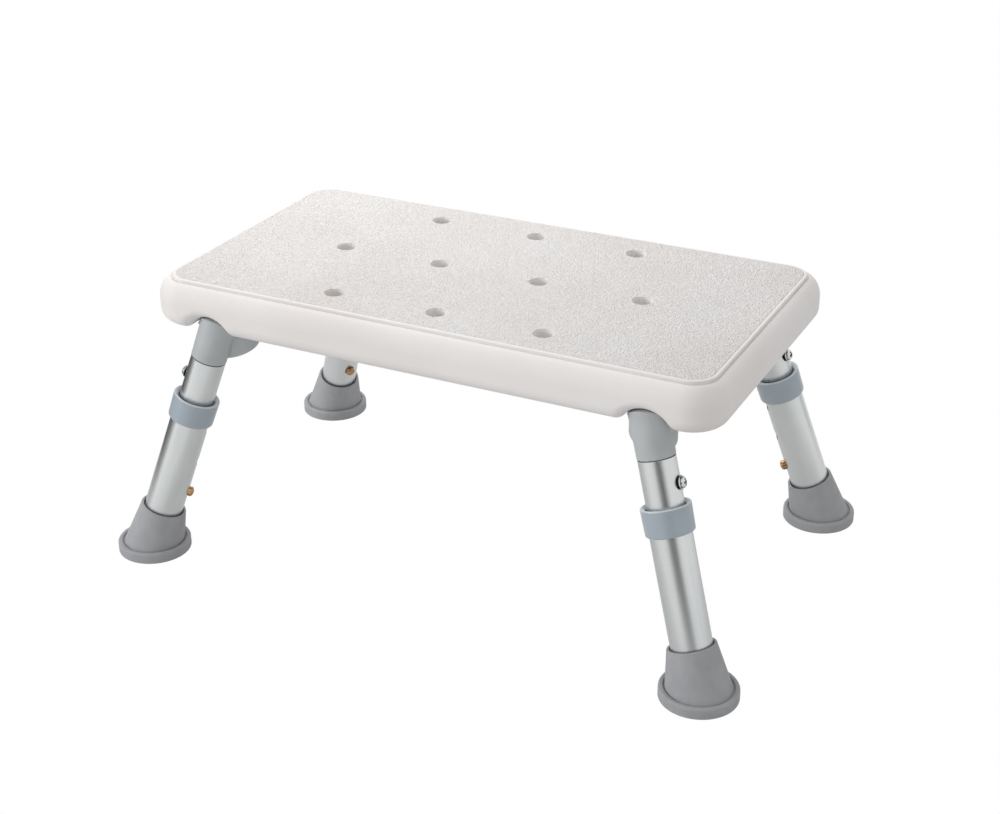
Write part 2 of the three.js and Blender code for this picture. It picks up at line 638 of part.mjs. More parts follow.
// Screws and buttons point along +Z, with their heights measured from the leg's axis.
function makeTubeScrew() {
  const seat = innerRadius + FIT_GAP;
  const headTop = seat + TUBE_SCREW_HEAD_HEIGHT;
  const domeHeight = TUBE_SCREW_HEAD_HEIGHT - TUBE_SCREW_RIM;
  const screw = solid(revolved([
    [0, seat - TUBE_SCREW_LENGTH],
    [TUBE_SCREW_RADIUS, seat - TUBE_SCREW_LENGTH + TUBE_SCREW_RADIUS],
    [TUBE_SCREW_RADIUS, seat],
    [TUBE_SCREW_HEAD_RADIUS, seat],
    ...arc(0, seat + TUBE_SCREW_RIM, TUBE_SCREW_HEAD_RADIUS, domeHeight, 0, 90, 3),
  ], SMALL_ROUND));
  let cut = screw;
  for (const [x, y] of [[CROSS_SPAN, CROSS_WIDTH], [CROSS_WIDTH, CROSS_SPAN]]) {
    const slot = new THREE.BoxGeometry(x, y, 2 * CROSS_DEPTH);
    cut = cut.subtract(solid(slot.translate(0, 0, headTop)));
  }
  return cut;
}

function makeSnapButton() {
  const tip = TUBE_OUTER_RADIUS + BUTTON_PROUD;
  return solid(revolved([
    [0, flangeSeat - BUTTON_FLANGE_HEIGHT],
    [flangeRadius, flangeSeat - BUTTON_FLANGE_HEIGHT],
    [flangeRadius, flangeSeat],
    [BUTTON_RADIUS, flangeSeat],
    ...arc(0, tip - BUTTON_DOME, BUTTON_RADIUS, BUTTON_DOME, 0, 90, 3),
  ], HOLE_ROUND));
}

// A strip of even thickness along a path of [x, y] points.
function strip(path, thickness) {
  const points = path.map(([x, y]) => new THREE.Vector2(x, y));
  const side = (sign) => points.map((point, i) => {
    const before = points[Math.max(i - 1, 0)];
    const after = points[Math.min(i + 1, points.length - 1)];
    const along = after.clone().sub(before).normalize();
    return new THREE.Vector2(-along.y, along.x).multiplyScalar((sign * thickness) / 2).add(point);
  });
  return new THREE.Shape([...side(1), ...side(-1).reverse()]);
}

// Two arms joined by a round bend: one behind the button, the other on the far wall.
function makeSpring() {
  const bendRadius = SPRING_BEND + SPRING_THICKNESS / 2;
  const frontArm = -(flangeSeat - BUTTON_FLANGE_HEIGHT - FIT_GAP - SPRING_THICKNESS / 2);
  const farWall = Math.sqrt(innerBore ** 2 - (SPRING_WIDTH / 2) ** 2);
  const backArm = farWall - FIT_GAP - SPRING_THICKNESS / 2;
  const bendX = (frontArm + backArm) / 2;
  const bendY = SPRING_LENGTH - bendRadius;
  const tangent = (x, y, turn) => {
    const toEnd = Math.atan2(y - bendY, x - bendX);
    const spread = Math.acos(bendRadius / Math.hypot(x - bendX, y - bendY));
    return THREE.MathUtils.radToDeg(toEnd + turn * spread);
  };
  const bend = arc(
    bendX,
    bendY,
    bendRadius,
    bendRadius,
    tangent(frontArm, flangeRadius, -1) + 360,
    tangent(backArm, flangeRadius, 1),
    2 * ARC,
  );
  const path = [
    [frontArm, -flangeRadius],
    [frontArm, flangeRadius],
    ...bend,
    [backArm, flangeRadius],
    [backArm, -flangeRadius],
  ];
  const outline = strip(path, SPRING_THICKNESS);
  const blade = new THREE.ExtrudeGeometry(outline, { depth: SPRING_WIDTH, bevelEnabled: false });
  return solid(blade.rotateX(Math.PI / 2).translate(0, SPRING_WIDTH / 2, 0));
}

// ---------------------------------------------------------------- materials

function material(color, roughness, metalness) {
  return new THREE.MeshStandardMaterial({ color, roughness, metalness });
}

const seatPlastic = material('#e8e6e4', 0.55, 0);
const socketPlastic = material('#a3a8aa', 0.5, 0);
const collarPlastic = material('#9ea8b2', 0.35, 0);
const satinAluminium = material('#c6cbce', 0.32, 1);
const footRubber = material('#8e9094', 0.75, 0);
const copperPlate = material('#b9814f', 0.3, 1);
const springSteel = material('#8f9398', 0.35, 1);
const brightSteel = material('#d2d5d8', 0.22, 1);
const brass = material('#c9a44c', 0.35, 1);

// ---------------------------------------------------------------- assembly

const stool = new THREE.Group();

function piece(name, shape, finish) {
  const mesh = new THREE.Mesh(geometryOf(shape), finish);
  mesh.name = name;
  return mesh;
}

stool.add(piece('seat', makeSeat(), seatPlastic));

const shapes = {
  socket: makeSocket(),
  bolt: makeBolt(),
  insert: makeInsert(),
  innerTube: makeInnerTube(),
  outerTube: makeOuterTube(),
  collar: makeCollar(),
  foot: makeFoot(),
  disc: makeDisc(),
  tubeScrew: makeTubeScrew(),
  button: makeSnapButton(),
  spring: makeSpring(),
};

// Every corner is the positive one, mirrored where its place asks for it.
for (const [side, alongY] of [['front', -1], ['back', 1]]) {
  for (const [end, alongX] of [['left', -1], ['right', 1]]) {
    const at = `${side}_${end}`;
    const corner = new THREE.Group();
    corner.scale.set(alongX, alongY, 1);
    corner.add(piece(`leg_socket_${at}`, shapes.socket, socketPlastic));
    corner.add(piece(`foot_${at}`, shapes.foot, footRubber));

    const onHub = new THREE.Group();
    onHub.position.set(hub.x, hub.y, 0);
    onHub.add(piece(`seat_bolt_${at}`, shapes.bolt, brightSteel));
    onHub.add(piece(`seat_insert_${at}`, shapes.insert, brass));
    corner.add(onHub);

    const leg = new THREE.Group();
    leg.position.copy(legRoot);
    leg.rotation.set(0, -lean, heading, 'ZYX');
    const hang = (name, shape, finish, station) => {
      const mesh = piece(`${name}_${at}`, shape, finish);
      mesh.position.z = -station;
      leg.add(mesh);
      return mesh;
    };
    hang('inner_tube', shapes.innerTube, satinAluminium, innerTubeTop);
    hang('outer_tube', shapes.outerTube, satinAluminium, outerTubeTop);
    hang('collar', shapes.collar, collarPlastic, collarStation);
    hang('foot_disc', shapes.disc, springSteel, discStation);
    hang('button_spring', shapes.spring, springSteel, buttonStation);
    hang('snap_button', shapes.button, copperPlate, buttonStation).rotation.y = -Math.PI / 2;
    hang('tube_screw', shapes.tubeScrew, brightSteel, tubeScrewStation)
      .rotation.set(0, Math.PI / 2, tubeScrewTurn, 'ZYX');
    corner.add(leg);
    stool.add(corner);
  }
}

export default stool;
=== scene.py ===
import json
import math

import bmesh
import bpy
from mathutils import Matrix, Vector


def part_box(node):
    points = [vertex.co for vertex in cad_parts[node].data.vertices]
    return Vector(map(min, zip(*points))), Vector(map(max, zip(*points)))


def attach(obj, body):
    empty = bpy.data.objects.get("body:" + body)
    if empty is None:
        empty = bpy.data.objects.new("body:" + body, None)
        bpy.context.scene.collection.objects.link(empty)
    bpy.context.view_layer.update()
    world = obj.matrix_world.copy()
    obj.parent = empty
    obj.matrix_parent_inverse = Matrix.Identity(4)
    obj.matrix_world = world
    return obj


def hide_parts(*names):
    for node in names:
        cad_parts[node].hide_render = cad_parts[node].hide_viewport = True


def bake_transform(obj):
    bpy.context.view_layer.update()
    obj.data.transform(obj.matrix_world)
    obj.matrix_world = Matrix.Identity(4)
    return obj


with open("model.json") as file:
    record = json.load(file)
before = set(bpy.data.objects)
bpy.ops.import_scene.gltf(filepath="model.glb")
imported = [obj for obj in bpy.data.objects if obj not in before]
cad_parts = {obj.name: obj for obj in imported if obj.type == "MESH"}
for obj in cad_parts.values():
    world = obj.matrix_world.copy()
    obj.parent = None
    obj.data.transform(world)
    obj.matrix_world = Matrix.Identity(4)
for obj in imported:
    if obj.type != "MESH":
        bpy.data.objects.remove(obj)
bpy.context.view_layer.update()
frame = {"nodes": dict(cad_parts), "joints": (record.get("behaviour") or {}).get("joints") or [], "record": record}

# ------------------------------------------------------------------ seat
# One hollow blow-moulded slab of off-white polyethylene, with a raised pebbled panel to
# sit on. Ten drain holes pinch its two walls together, and four arched notches in its
# long sides take the leg sockets.

seat_corner = 0.026
shoulder_width = 0.012
shoulder_height = 0.015
belly_round = 0.0105
panel_inset = 0.0095
panel_rise = 0.0012
panel_corner = 0.018
panel_edge = 0.0009
groove_width = 0.0012
groove_depth = 0.0009
panel_border = 0.0026
drain_radius = 0.0062
drain_lip = 0.0016
drain_web = 0.008
funnel_radius = 0.013
funnel_top_radius = 0.0085
funnel_lip = 0.0022
notch_radius = 0.019
notch_rise = 0.0108
notch_offset = 0.0007
notch_foot_round = 0.008
notch_mouth_rise = 0.008
notch_mouth_depth = 0.010
notch_bite = 0.00015
well_lip = 0.002
hub_radius = 0.0159
pocket_gap = 0.0004
blow_hole_radius = 0.004
blow_hole_depth = 0.003
pebbles_per_metre = 430.0
pits_per_metre = 760.0
seat_grain_per_metre = 1900.0
seat_clouds_per_metre = 9.0
pebble_depth = 0.0011
seat_grain_depth = 0.00006
border_blend = 0.0003
crown_blend = 0.0001
seat_off_white = (0.875, 0.85, 0.835, 1)
seat_warm_shade = (0.83, 0.795, 0.775, 1)

# How far a cutter runs past the face that it opens.
overcut = 0.002

seat_low, seat_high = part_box("seat")
seat_length = seat_high.x - seat_low.x
seat_width = seat_high.y - seat_low.y
underside = seat_low.z
seat_top = seat_high.z
rim_top = seat_top - panel_rise


def arc(x, y, radius, start, stop, steps, radius_y=None):
    """Points on part of a circle or ellipse about (x, y), between two angles in degrees."""
    turn = math.radians(stop - start) / steps
    angles = [math.radians(start) + turn * step for step in range(steps + 1)]
    radius_y = radius_y or radius
    return [(x + radius * math.cos(a), y + radius_y * math.sin(a)) for a in angles]


def circle(radius, segments=96, start=0.0):
    """Points (x, y) all round a circle about the origin."""
    angles = [start + 2 * math.pi * i / segments for i in range(segments)]
    return [(radius * math.cos(a), radius * math.sin(a)) for a in angles]


def skin(rings, loop=False):
    """A shape through rings of points. A ring of one point is a tip; loop joins last to first."""
    shape = bmesh.new()
    made = [[shape.verts.new(point) for point in ring] for ring in rings]
    pairs = list(zip(made, made[1:]))
    if loop:
        pairs.append((made[-1], made[0]))
    for low, high in pairs:
        count = max(len(low), len(high))
        for i in range(count):
            j = (i + 1) % count
            edge_low = [low[i], low[j]] if len(low) > 1 else [low[0]]
            edge_high = [high[j], high[i]] if len(high) > 1 else [high[0]]
            shape.faces.new(edge_low + edge_high)
    if not loop:
        for end in (made[0], made[-1]):
            if len(end) > 2:
                shape.faces.new(end)
    bmesh.ops.recalc_face_normals(shape, faces=shape.faces)
    return shape


def turned(profile, segments=96, loop=False):
    """A shape turned about Z from a profile of (radius, height) points."""
    rings = []
    for radius, height in profile:
        points = circle(radius, segments) if radius else [(0, 0)]
        rings.append([Vector((x, y, height)) for x, y in points])
    return skin(rings, loop)


def pin(radius, low, high, segments=48):
    """A plain bar on the Z axis, between two heights."""
    return turned([(0, low), (radius, low), (radius, high), (0, high)], segments)


def prism(outline, start, stop):
    """An outline of (x, z) points, drawn out along Y from one place to another."""
    return skin([[Vector((x, y, z)) for x, z in outline] for y in (start, stop)])


def solid(*shapes):
    """One object, a blank or a cutting tool, from shapes that don't touch each other."""
    mesh = bpy.data.meshes.new("blank")
    together = bmesh.new()
    for shape in shapes:
        shape.to_mesh(mesh)
        together.from_mesh(mesh)
        shape.free()
    together.to_mesh(mesh)
    together.free()
    thing = bpy.data.objects.new("blank", mesh)
    bpy.context.scene.collection.objects.link(thing)
    return thing


def moved(shape, place):
    """The shape, turned and moved by a matrix."""
    shape.transform(place)
    if place.to_3x3().determinant() < 0:
        bmesh.ops.reverse_faces(shape, faces=shape.faces)
    return shape


def work(body, how, tool):
    """Cuts a tool out of a body, joins it on, or keeps what both hold. The tool is used up."""
    change = body.modifiers.new(how, "BOOLEAN")
    change.operation = how
    change.solver = "MANIFOLD"
    change.object = tool
    depsgraph = bpy.context.evaluated_depsgraph_get()
    result = bpy.data.meshes.new_from_object(body.evaluated_get(depsgraph))
    body.modifiers.clear()
    body.data = result
    bpy.data.objects.remove(tool)


def cut(body, *shapes):
    """Cuts shapes out of a body."""
    work(body, "DIFFERENCE", solid(*shapes))


def smooth(body, crease=32):
    """Rounds the shading, keeps edges sharper than the crease angle, and leaves flats flat."""
    shape = bmesh.new()
    shape.from_mesh(body.data)
    bmesh.ops.remove_doubles(shape, verts=shape.verts, dist=1e-7)
    bmesh.ops.dissolve_degenerate(shape, edges=shape.edges, dist=1e-7)
    for face in shape.faces:
        face.smooth = True
    for edge in shape.edges:
        edge.smooth = edge.is_manifold and edge.calc_face_angle(0) < math.radians(crease)
    shape.to_mesh(body.data)
    shape.free()
    weighted = body.modifiers.new("weighted normals", "WEIGHTED_NORMAL")
    weighted.keep_sharp = True
    return body


def seat_ring(inset, height, corner, steps=14):
    """Points round the seat's rounded rectangle, in from its outline by an inset."""
    points = []
    reach_x = seat_length / 2 - inset - corner
    reach_y = seat_width / 2 - inset - corner
    for quarter, (side_x, side_y) in enumerate(((1, 1), (-1, 1), (-1, -1), (1, -1))):
        for dx, dy in arc(0, 0, corner, quarter * 90, quarter * 90 + 90, steps):
            points.append(Vector((side_x * reach_x + dx, side_y * reach_y + dy, height)))
    return points


def seat_blank():
    """The slab with its panel, the groove round it and its rounded edges, before the cuts."""
    rings = []
    edge_centre = panel_inset + panel_edge
    for inset, height in arc(edge_centre, seat_top - panel_edge, panel_edge, 90, 180, 6):
        rings.append(seat_ring(inset, height, panel_corner + panel_inset - inset))
    groove_outside = panel_inset - groove_width
    shoulder_start = math.degrees(math.acos(groove_outside / shoulder_width - 1))
    shoulder_foot = rim_top - shoulder_height
    shoulder = arc(
        shoulder_width, shoulder_foot, shoulder_width, shoulder_start, 180, 18, shoulder_height
    )
    groove_floor = shoulder[0][1] - groove_depth
    rings.append(seat_ring(panel_inset, groove_floor, panel_corner))
    rings.append(seat_ring(panel_inset - groove_width / 2, groove_floor, panel_corner))
    belly = arc(belly_round, underside + belly_round, belly_round, 180, 270, 12)
    for inset, height in shoulder + belly:
        rings.append(seat_ring(inset, height, seat_corner - inset))
    return solid(skin(rings))


drain_places = [
    Vector(opening["box_m"][0]).lerp(Vector(opening["box_m"][1]), 0.5)
    for opening in frame["record"]["physics"]["openings"]
    if opening["name"].startswith("drain_hole")
]


def drain_tool(place):
    """Cutter for a drain hole with a rounded lip, and for the funnel that pinches up to it."""
    web = seat_top - drain_web
    funnel_mouth = funnel_radius + funnel_lip
    drain_mouth = drain_radius + drain_lip
    profile = [
        (0, underside - overcut),
        (funnel_mouth, underside - overcut),
        *arc(funnel_mouth, underside + funnel_lip, funnel_lip, 270, 185, 8),
        (funnel_top_radius, web),
        (drain_radius, web),
        *arc(drain_mouth, seat_top - drain_lip, drain_lip, 180, 90, 8),
        (drain_mouth, seat_top + overcut),
        (0, seat_top + overcut),
    ]
    return moved(turned(profile, 64), Matrix.Translation((place.x, place.y, 0)))


# Each leg's pieces are made for the back right corner, and mirrored to the others.
corners = {
    "front_left": (-1, -1),
    "front_right": (1, -1),
    "back_left": (-1, 1),
    "back_right": (1, 1),
}
slides = {joint["child"]: Vector(joint["axis"]) for joint in frame["joints"]}
leg_axis = slides["lower_leg_back_right"]
leg_lean = math.acos(-leg_axis.z)
leg_heading = math.atan2(leg_axis.y, leg_axis.x)
disc_low, disc_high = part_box("foot_disc_back_right")
disc_centre = (disc_low + disc_high) / 2


def leg_point(height):
    """Where the leg's axis passes a height."""
    return disc_centre + leg_axis * ((height - disc_centre.z) / leg_axis.z)


leg_place = (
    Matrix.Translation(leg_point(seat_top))
    @ Matrix.Rotation(leg_heading, 4, "Z")
    @ Matrix.Rotation(-leg_lean, 4, "Y")
)
bolt_low, bolt_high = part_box("seat_bolt_back_right")
hub_centre = (bolt_low + bolt_high) / 2
hub_place = Matrix.Translation((hub_centre.x, hub_centre.y, 0))
leg_crossing = leg_point(underside)
notch_middle = leg_crossing.x + notch_offset
notch_apex = underside + notch_rise
notch_centre = notch_apex - notch_radius


def mirrored(shape, corner):
    """A shape for the back right corner, mirrored to another corner."""
    side_x, side_y = corners[corner]
    return moved(shape, Matrix.Diagonal((side_x, side_y, 1, 1)))


def arch_outline(wider, bottom):
    """A notch seen from the side: a round arch whose feet curve out into the seat's bottom."""
    radius, foot = notch_radius + wider, notch_foot_round
    foot_top = bottom + foot
    foot_reach = math.sqrt((radius + foot) ** 2 - (foot_top - notch_centre) ** 2)
    spring = math.degrees(math.atan2(foot_top - notch_centre, foot_reach))
    low = underside - overcut
    right = arc(foot_reach, foot_top, foot, 270, 180 + spring, 12)
    crown = arc(0, notch_centre, radius, spring, 180 - spring, 40)
    left = arc(-foot_reach, foot_top, foot, -spring, -90, 12)
    return [(foot_reach, low), *right, *crown[1:-1], *left, (-foot_reach, low)]


def notch_tool():
    """Cutter for a notch. It opens up at the seat's side, and its feet follow the round belly."""
    side = seat_width / 2
    mouth_start = side - notch_mouth_depth
    mouth = arc(notch_mouth_rise, mouth_start, notch_mouth_rise, 180, 90, 20, notch_mouth_depth)
    steps = [(0, hub_centre.y, underside)]
    for wider, y in mouth:
        past = max(0, y - side + belly_round)
        bottom = underside + belly_round - math.sqrt(max(0, belly_round**2 - past**2))
        steps.append((wider, y, bottom))
    steps.append((notch_mouth_rise, side + overcut, underside + belly_round))
    return skin(
        [
            [Vector((notch_middle + x, y, z)) for x, z in arch_outline(wider, bottom - notch_bite)]
            for wider, y, bottom in steps
        ]
    )


def hub_well():
    """Cutter for the round well that the socket's hub seats in."""
    radius = hub_radius + pocket_gap
    profile = [
        (0, underside - well_lip),
        (radius + well_lip, underside - well_lip),
        *arc(radius + well_lip, underside + well_lip, well_lip, 270, 180, 8),
        (radius, notch_apex),
        (0, notch_apex),
    ]
    return moved(turned(profile), hub_place)


class Signal:
    """A value, vector or colour in a finish, which Python's operators work on."""

    tree = None

    def __init__(self, socket):
        self.socket = socket

    @classmethod
    def make(cls, kind, settings, sockets, output=0):
        """Adds a node of any kind: its settings first, then what its sockets get."""
        node = cls.tree.nodes.new(kind)
        for name, value in settings.items():
            setattr(node, name, value)
        for name, value in sockets.items():
            if isinstance(value, Signal):
                cls.tree.links.new(value.socket, node.inputs[name])
            else:
                node.inputs[name].default_value = value
        return cls(node.outputs[output])

    def maths(self, operation, other=0.0):
        return self.make("ShaderNodeMath", {"operation": operation}, {0: self, 1: other})

    def __add__(self, other):
        return self.maths("ADD", other)

    __radd__ = __add__

    def __mul__(self, other):
        return self.maths("MULTIPLY", other)

    __rmul__ = __mul__

    def __sub__(self, other):
        return self.maths("SUBTRACT", other)

    def __rsub__(self, other):
        return self.make("ShaderNodeMath", {"operation": "SUBTRACT"}, {0: other, 1: self})

    def __pow__(self, other):
        return self.maths("POWER", other)

    def ease(self, low, high):
        """0 below low and 1 above high, with a smooth step between."""
        settings = {"interpolation_type": "SMOOTHSTEP"}
        sockets = {"Value": self, "From Min": low, "From Max": high}
        return self.make("ShaderNodeMapRange", settings, sockets)

    def between(self, first, second):
        """The mix of two colours that this value picks."""
        settings = {"data_type": "RGBA"}
        return self.make("ShaderNodeMix", settings, {0: self, 6: first, 7: second}, 2)

    def part(self, name):
        """The X, Y or Z of a vector."""
        return self.make("ShaderNodeSeparateXYZ", {}, {0: self}, name)

    def vector(self, operation, other=(0, 0, 0), output=0):
        """Maths on vectors. A length or a dot product comes out of "Value"."""
        settings = {"operation": operation}
        return self.make("ShaderNodeVectorMath", settings, {0: self, 1: other}, output)

    def stretched(self, scale):
        """A vector times another."""
        return self.vector("MULTIPLY", scale)

    def noise(self, scale, detail=2.0, roughness=0.5):
        """Cloudy noise, from 0 to 1."""
        sockets = {"Vector": self, "Scale": scale, "Detail": detail, "Roughness": roughness}
        return self.make("ShaderNodeTexNoise", {}, sockets, 0)

    def cells(self, scale, smoothness=0.6):
        """Distance to the middle of the nearest of many round cells."""
        sockets = {"Vector": self, "Scale": scale, "Smoothness": smoothness}
        return self.make("ShaderNodeTexVoronoi", {"feature": "SMOOTH_F1"}, sockets, "Distance")

    def bump(self, distance, under=None):
        """A normal from a height between 0 and 1, over another bump if one is given."""
        sockets = {"Height": self, "Distance": distance, "Strength": 1.0}
        if under is not None:
            sockets["Normal"] = under
        return self.make("ShaderNodeBump", {}, sockets)


def start_finish(name, **uniform):
    """A new material, with the values that are the same all over. Signals go into it next."""
    material = bpy.data.materials.new(name)
    material.use_nodes = True
    Signal.tree = material.node_tree
    shader = material.node_tree.nodes["Principled BSDF"]
    for socket, value in uniform.items():
        shader.inputs[socket.replace("_", " ")].default_value = value
    return material


def vary(material, **signals):
    """Links what changes over the surface to the shader's sockets."""
    shader = material.node_tree.nodes["Principled BSDF"]
    for socket, signal in signals.items():
        material.node_tree.links.new(signal.socket, shader.inputs[socket.replace("_", " ")])
    return material


def spot():
    """The point on the object, in metres, at rest."""
    return Signal.make("ShaderNodeTexCoord", {}, {}, "Object")


def inside_panel(place):
    """How far in from the panel's edge a point is, by the panel's rounded rectangle."""
    reach_x = seat_length / 2 - panel_inset - panel_corner
    reach_y = seat_width / 2 - panel_inset - panel_corner
    past_x = place.part("X").maths("ABSOLUTE") - reach_x
    past_y = place.part("Y").maths("ABSOLUTE") - reach_y
    corner = past_x.maths("MAXIMUM") ** 2 + past_y.maths("MAXIMUM") ** 2
    straight = past_x.maths("MAXIMUM", past_y).maths("MINIMUM")
    return panel_corner - corner.maths("SQRT") - straight


def seat_finish():
    """Satin polyethylene: a fine grain from the mould all over, and pebbles on the panel, with shade painted into
    the furrows between them.
    """
    material = start_finish("off_white_polyethylene", IOR=1.5, Specular_IOR_Level=0.28)
    place = spot()
    raised = place.part("Z").ease(rim_top + border_blend, seat_top - crown_blend)
    inside = inside_panel(place).ease(panel_border - border_blend, panel_border + border_blend)
    on_panel = raised * inside
    pebbles = place.noise(pebbles_per_metre, 2.0, 0.55)
    furrows = (pebbles * 2.0 - 1.0).maths("ABSOLUTE").ease(0.0, 0.4)
    pits = place.cells(pits_per_metre)
    panel_height = furrows * 0.6 + pebbles * 0.4 + pits * 0.3
    fine = place.noise(seat_grain_per_metre, 3.0, 0.6)
    normal = (panel_height * on_panel).bump(pebble_depth, fine.bump(seat_grain_depth))
    cloud = place.noise(seat_clouds_per_metre, 3.0)
    tone = cloud.ease(0.35, 0.7).between(seat_off_white, seat_warm_shade)
    # Painted shade: the panel's colour is darkened a little in the furrows between the pebbles.
    painted_furrow_shade = (furrows * 0.07 + 0.93) * on_panel + (1 - on_panel)
    shade = Signal.make("ShaderNodeCombineColor", {}, {0: painted_furrow_shade, 1: painted_furrow_shade, 2: painted_furrow_shade})
    settings = {"data_type": "RGBA", "blend_type": "MULTIPLY"}
    colour = Signal.make("ShaderNodeMix", settings, {0: 1.0, 6: tone, 7: shade}, 2)
    roughness = 0.46 + fine * 0.08 + on_panel * 0.08
    return vary(material, Base_Color=colour, Roughness=roughness, Normal=normal)


def show(piece, name, material, slot, body, *nodes):
    """Names a piece, finishes it, and sets it on its body in place of its CAD nodes.

    A piece that is given no body is set on none.
    """
    piece.name = name
    piece.data.name = name
    piece.data.materials.clear()
    piece.data.materials.append(material)
    if body:
        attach(piece, body)
    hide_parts(*nodes)


seat = seat_blank()
cut(seat, *[drain_tool(place) for place in drain_places])
for make_tool in (notch_tool, hub_well):
    cut(seat, *[mirrored(make_tool(), corner) for corner in corners])
# The blind mark that the blow pin leaves in the middle of the underside.
cut(seat, pin(blow_hole_radius, underside - overcut, underside + blow_hole_depth))
show(smooth(seat), "seat_moulding", seat_finish(), "seat", "stool_top", "seat")

# ------------------------------------------------------------------ leg sockets
# Grey nylon mouldings. A round hub fills the well in the seat and takes the bolt, and a
# stub leans out through the notch and ends in a spigot for the tube.

stub_radius = 0.0127
stub_top_radius = 0.0132
stub_edge = 0.0005
spigot_radius = 0.0110
spigot_length = 0.028
spigot_chamfer = 0.001
stub_overlap = 0.02
heel_reach = 0.0056
heel_depth = 0.007
heel_end_radius = 0.0095
hub_drop = 0.0228
hub_tilt = math.radians(14)
hub_edge = 0.004
saddle_reach = 0.017
bolt_head_radius = 0.005
bolt_head_height = 0.004
bolt_head_play = 0.0003
bolt_hole_radius = 0.0032
bolt_well_play = 0.0008
saddle_gap = 0.0006
trim_reach = 0.08
trim_depth = 0.1
barrel_back = 0.05
barrel_front = 0.06
seam_gap = 0.0003
nylon_clouds_per_metre = 45.0
socket_grain_per_metre = 1500.0
socket_grain_depth = 0.00005
socket_grey = (0.50, 0.526, 0.536, 1)
socket_shade = (0.445, 0.47, 0.48, 1)

to_leg = leg_place.inverted()


def span(node):
    """How far down the leg a CAD node starts and ends, and its radius there."""
    points = [to_leg @ vertex.co for vertex in frame["nodes"][node].data.vertices]
    depths = [-point.z for point in points]
    return min(depths), max(depths), max(math.hypot(point.x, point.y) for point in points)


inner_top, inner_end, inner_radius = span("inner_tube_back_right")
seam = inner_top - 2 * seam_gap


def hub_ring(radius, height, fall):
    """Points round the hub, on a level that falls towards the leg by a share of its tilt."""
    points = []
    for x, y in circle(radius):
        outward = x * math.cos(leg_heading) + y * math.sin(leg_heading)
        slope = fall * math.tan(hub_tilt) * outward
        points.append(Vector((hub_centre.x + x, hub_centre.y + y, height - slope)))
    return points


def socket_hub():
    """The upright hub: a slanting end with a rounded edge, up to the top of its well."""
    bottom = underside - hub_drop
    edge = arc(hub_radius - hub_edge, bottom + hub_edge, hub_edge, 270, 360, 8)
    rings = [hub_ring(radius, height, 1) for radius, height in edge]
    rings.append(hub_ring(hub_radius, notch_apex - pocket_gap, 0))
    return skin(rings)


def socket_heel():
    """A slanting bar, thicker at the top, that joins the stub to the hub."""
    back = Vector((hub_centre.x - leg_crossing.x, hub_centre.y - leg_crossing.y, 0)).normalized()
    middle = (seat_top - underside) / math.cos(leg_lean)
    narrow = stub_top_radius - heel_end_radius
    low = (middle + heel_depth, heel_end_radius, narrow)
    high = (middle - heel_depth, stub_top_radius + narrow, 2 * heel_reach - narrow)
    rings = []
    for depth, radius, shift in (low, high):
        ring = [leg_place @ Vector((x, y, -depth)) for x, y in circle(radius)]
        rings.append([point + back * shift for point in ring])
    return skin(rings)


def socket_stub():
    """The stub and its spigot, turned about the leg's axis."""
    top = (seat_top - underside) / math.cos(leg_lean) - stub_overlap
    end = -seam - spigot_length
    profile = [
        (0, end),
        (spigot_radius - spigot_chamfer, end),
        (spigot_radius, end + 2 * spigot_chamfer),
        (spigot_radius, -seam),
        (stub_radius - stub_edge, -seam),
        *arc(stub_radius - stub_edge, stub_edge - seam, stub_edge, 270, 360, 5)[1:],
        (stub_top_radius, -top),
        (0, -top),
    ]
    return moved(turned(profile), leg_place)


def barrel(start, stop):
    """A bar along Y that fills the notch."""
    radius = notch_radius - saddle_gap
    outline = arc(notch_middle, notch_centre, radius, 0, 360, 96)[:-1]
    return prism(outline, start, stop)


def slab(low, high):
    """A block round the corner, between two heights, to trim with."""
    left, right = leg_crossing.x - trim_reach, leg_crossing.x + trim_reach
    outline = [(left, low), (right, low), (right, high), (left, high)]
    return prism(outline, leg_crossing.y - trim_reach, leg_crossing.y + trim_reach)


def bolt_bore():
    """Cutter for the bolt's hole and the well that sinks its head into the hub."""
    well = bolt_head_radius + bolt_well_play
    head_seat = bolt_low.z + bolt_head_height + bolt_head_play
    below = underside - 2 * hub_drop
    profile = [
        (0, below),
        (well, below),
        (well, head_seat),
        (bolt_hole_radius, head_seat),
        (bolt_hole_radius, seat_top),
        (0, seat_top),
    ]
    return moved(turned(profile, 48), hub_place)


def socket_finish():
    """Moulded nylon: faint clouds of colour and the mould's fine grain."""
    material = start_finish("grey_nylon", IOR=1.53, Specular_IOR_Level=0.45)
    place = spot()
    fine = place.noise(socket_grain_per_metre, 3.0, 0.6)
    cloud = place.noise(nylon_clouds_per_metre, 3.0).ease(0.3, 0.75)
    tone = cloud.between(socket_grey, socket_shade)
    rough = 0.42 + fine * 0.12
    return vary(material, Base_Color=tone, Roughness=rough, Normal=fine.bump(socket_grain_depth))


socket = solid(socket_stub())
work(socket, "UNION", solid(socket_heel()))
trim = solid(slab(-trim_depth, underside - pocket_gap))
work(trim, "UNION", solid(barrel(hub_centre.y - barrel_back, hub_centre.y + barrel_front)))
work(socket, "INTERSECT", trim)
saddle = solid(barrel(hub_centre.y, hub_centre.y + saddle_reach))
work(saddle, "INTERSECT", solid(slab(underside, seat_top)))
work(socket, "UNION", saddle)
work(socket, "UNION", solid(socket_hub()))
cut(socket, bolt_bore())
smooth(socket)


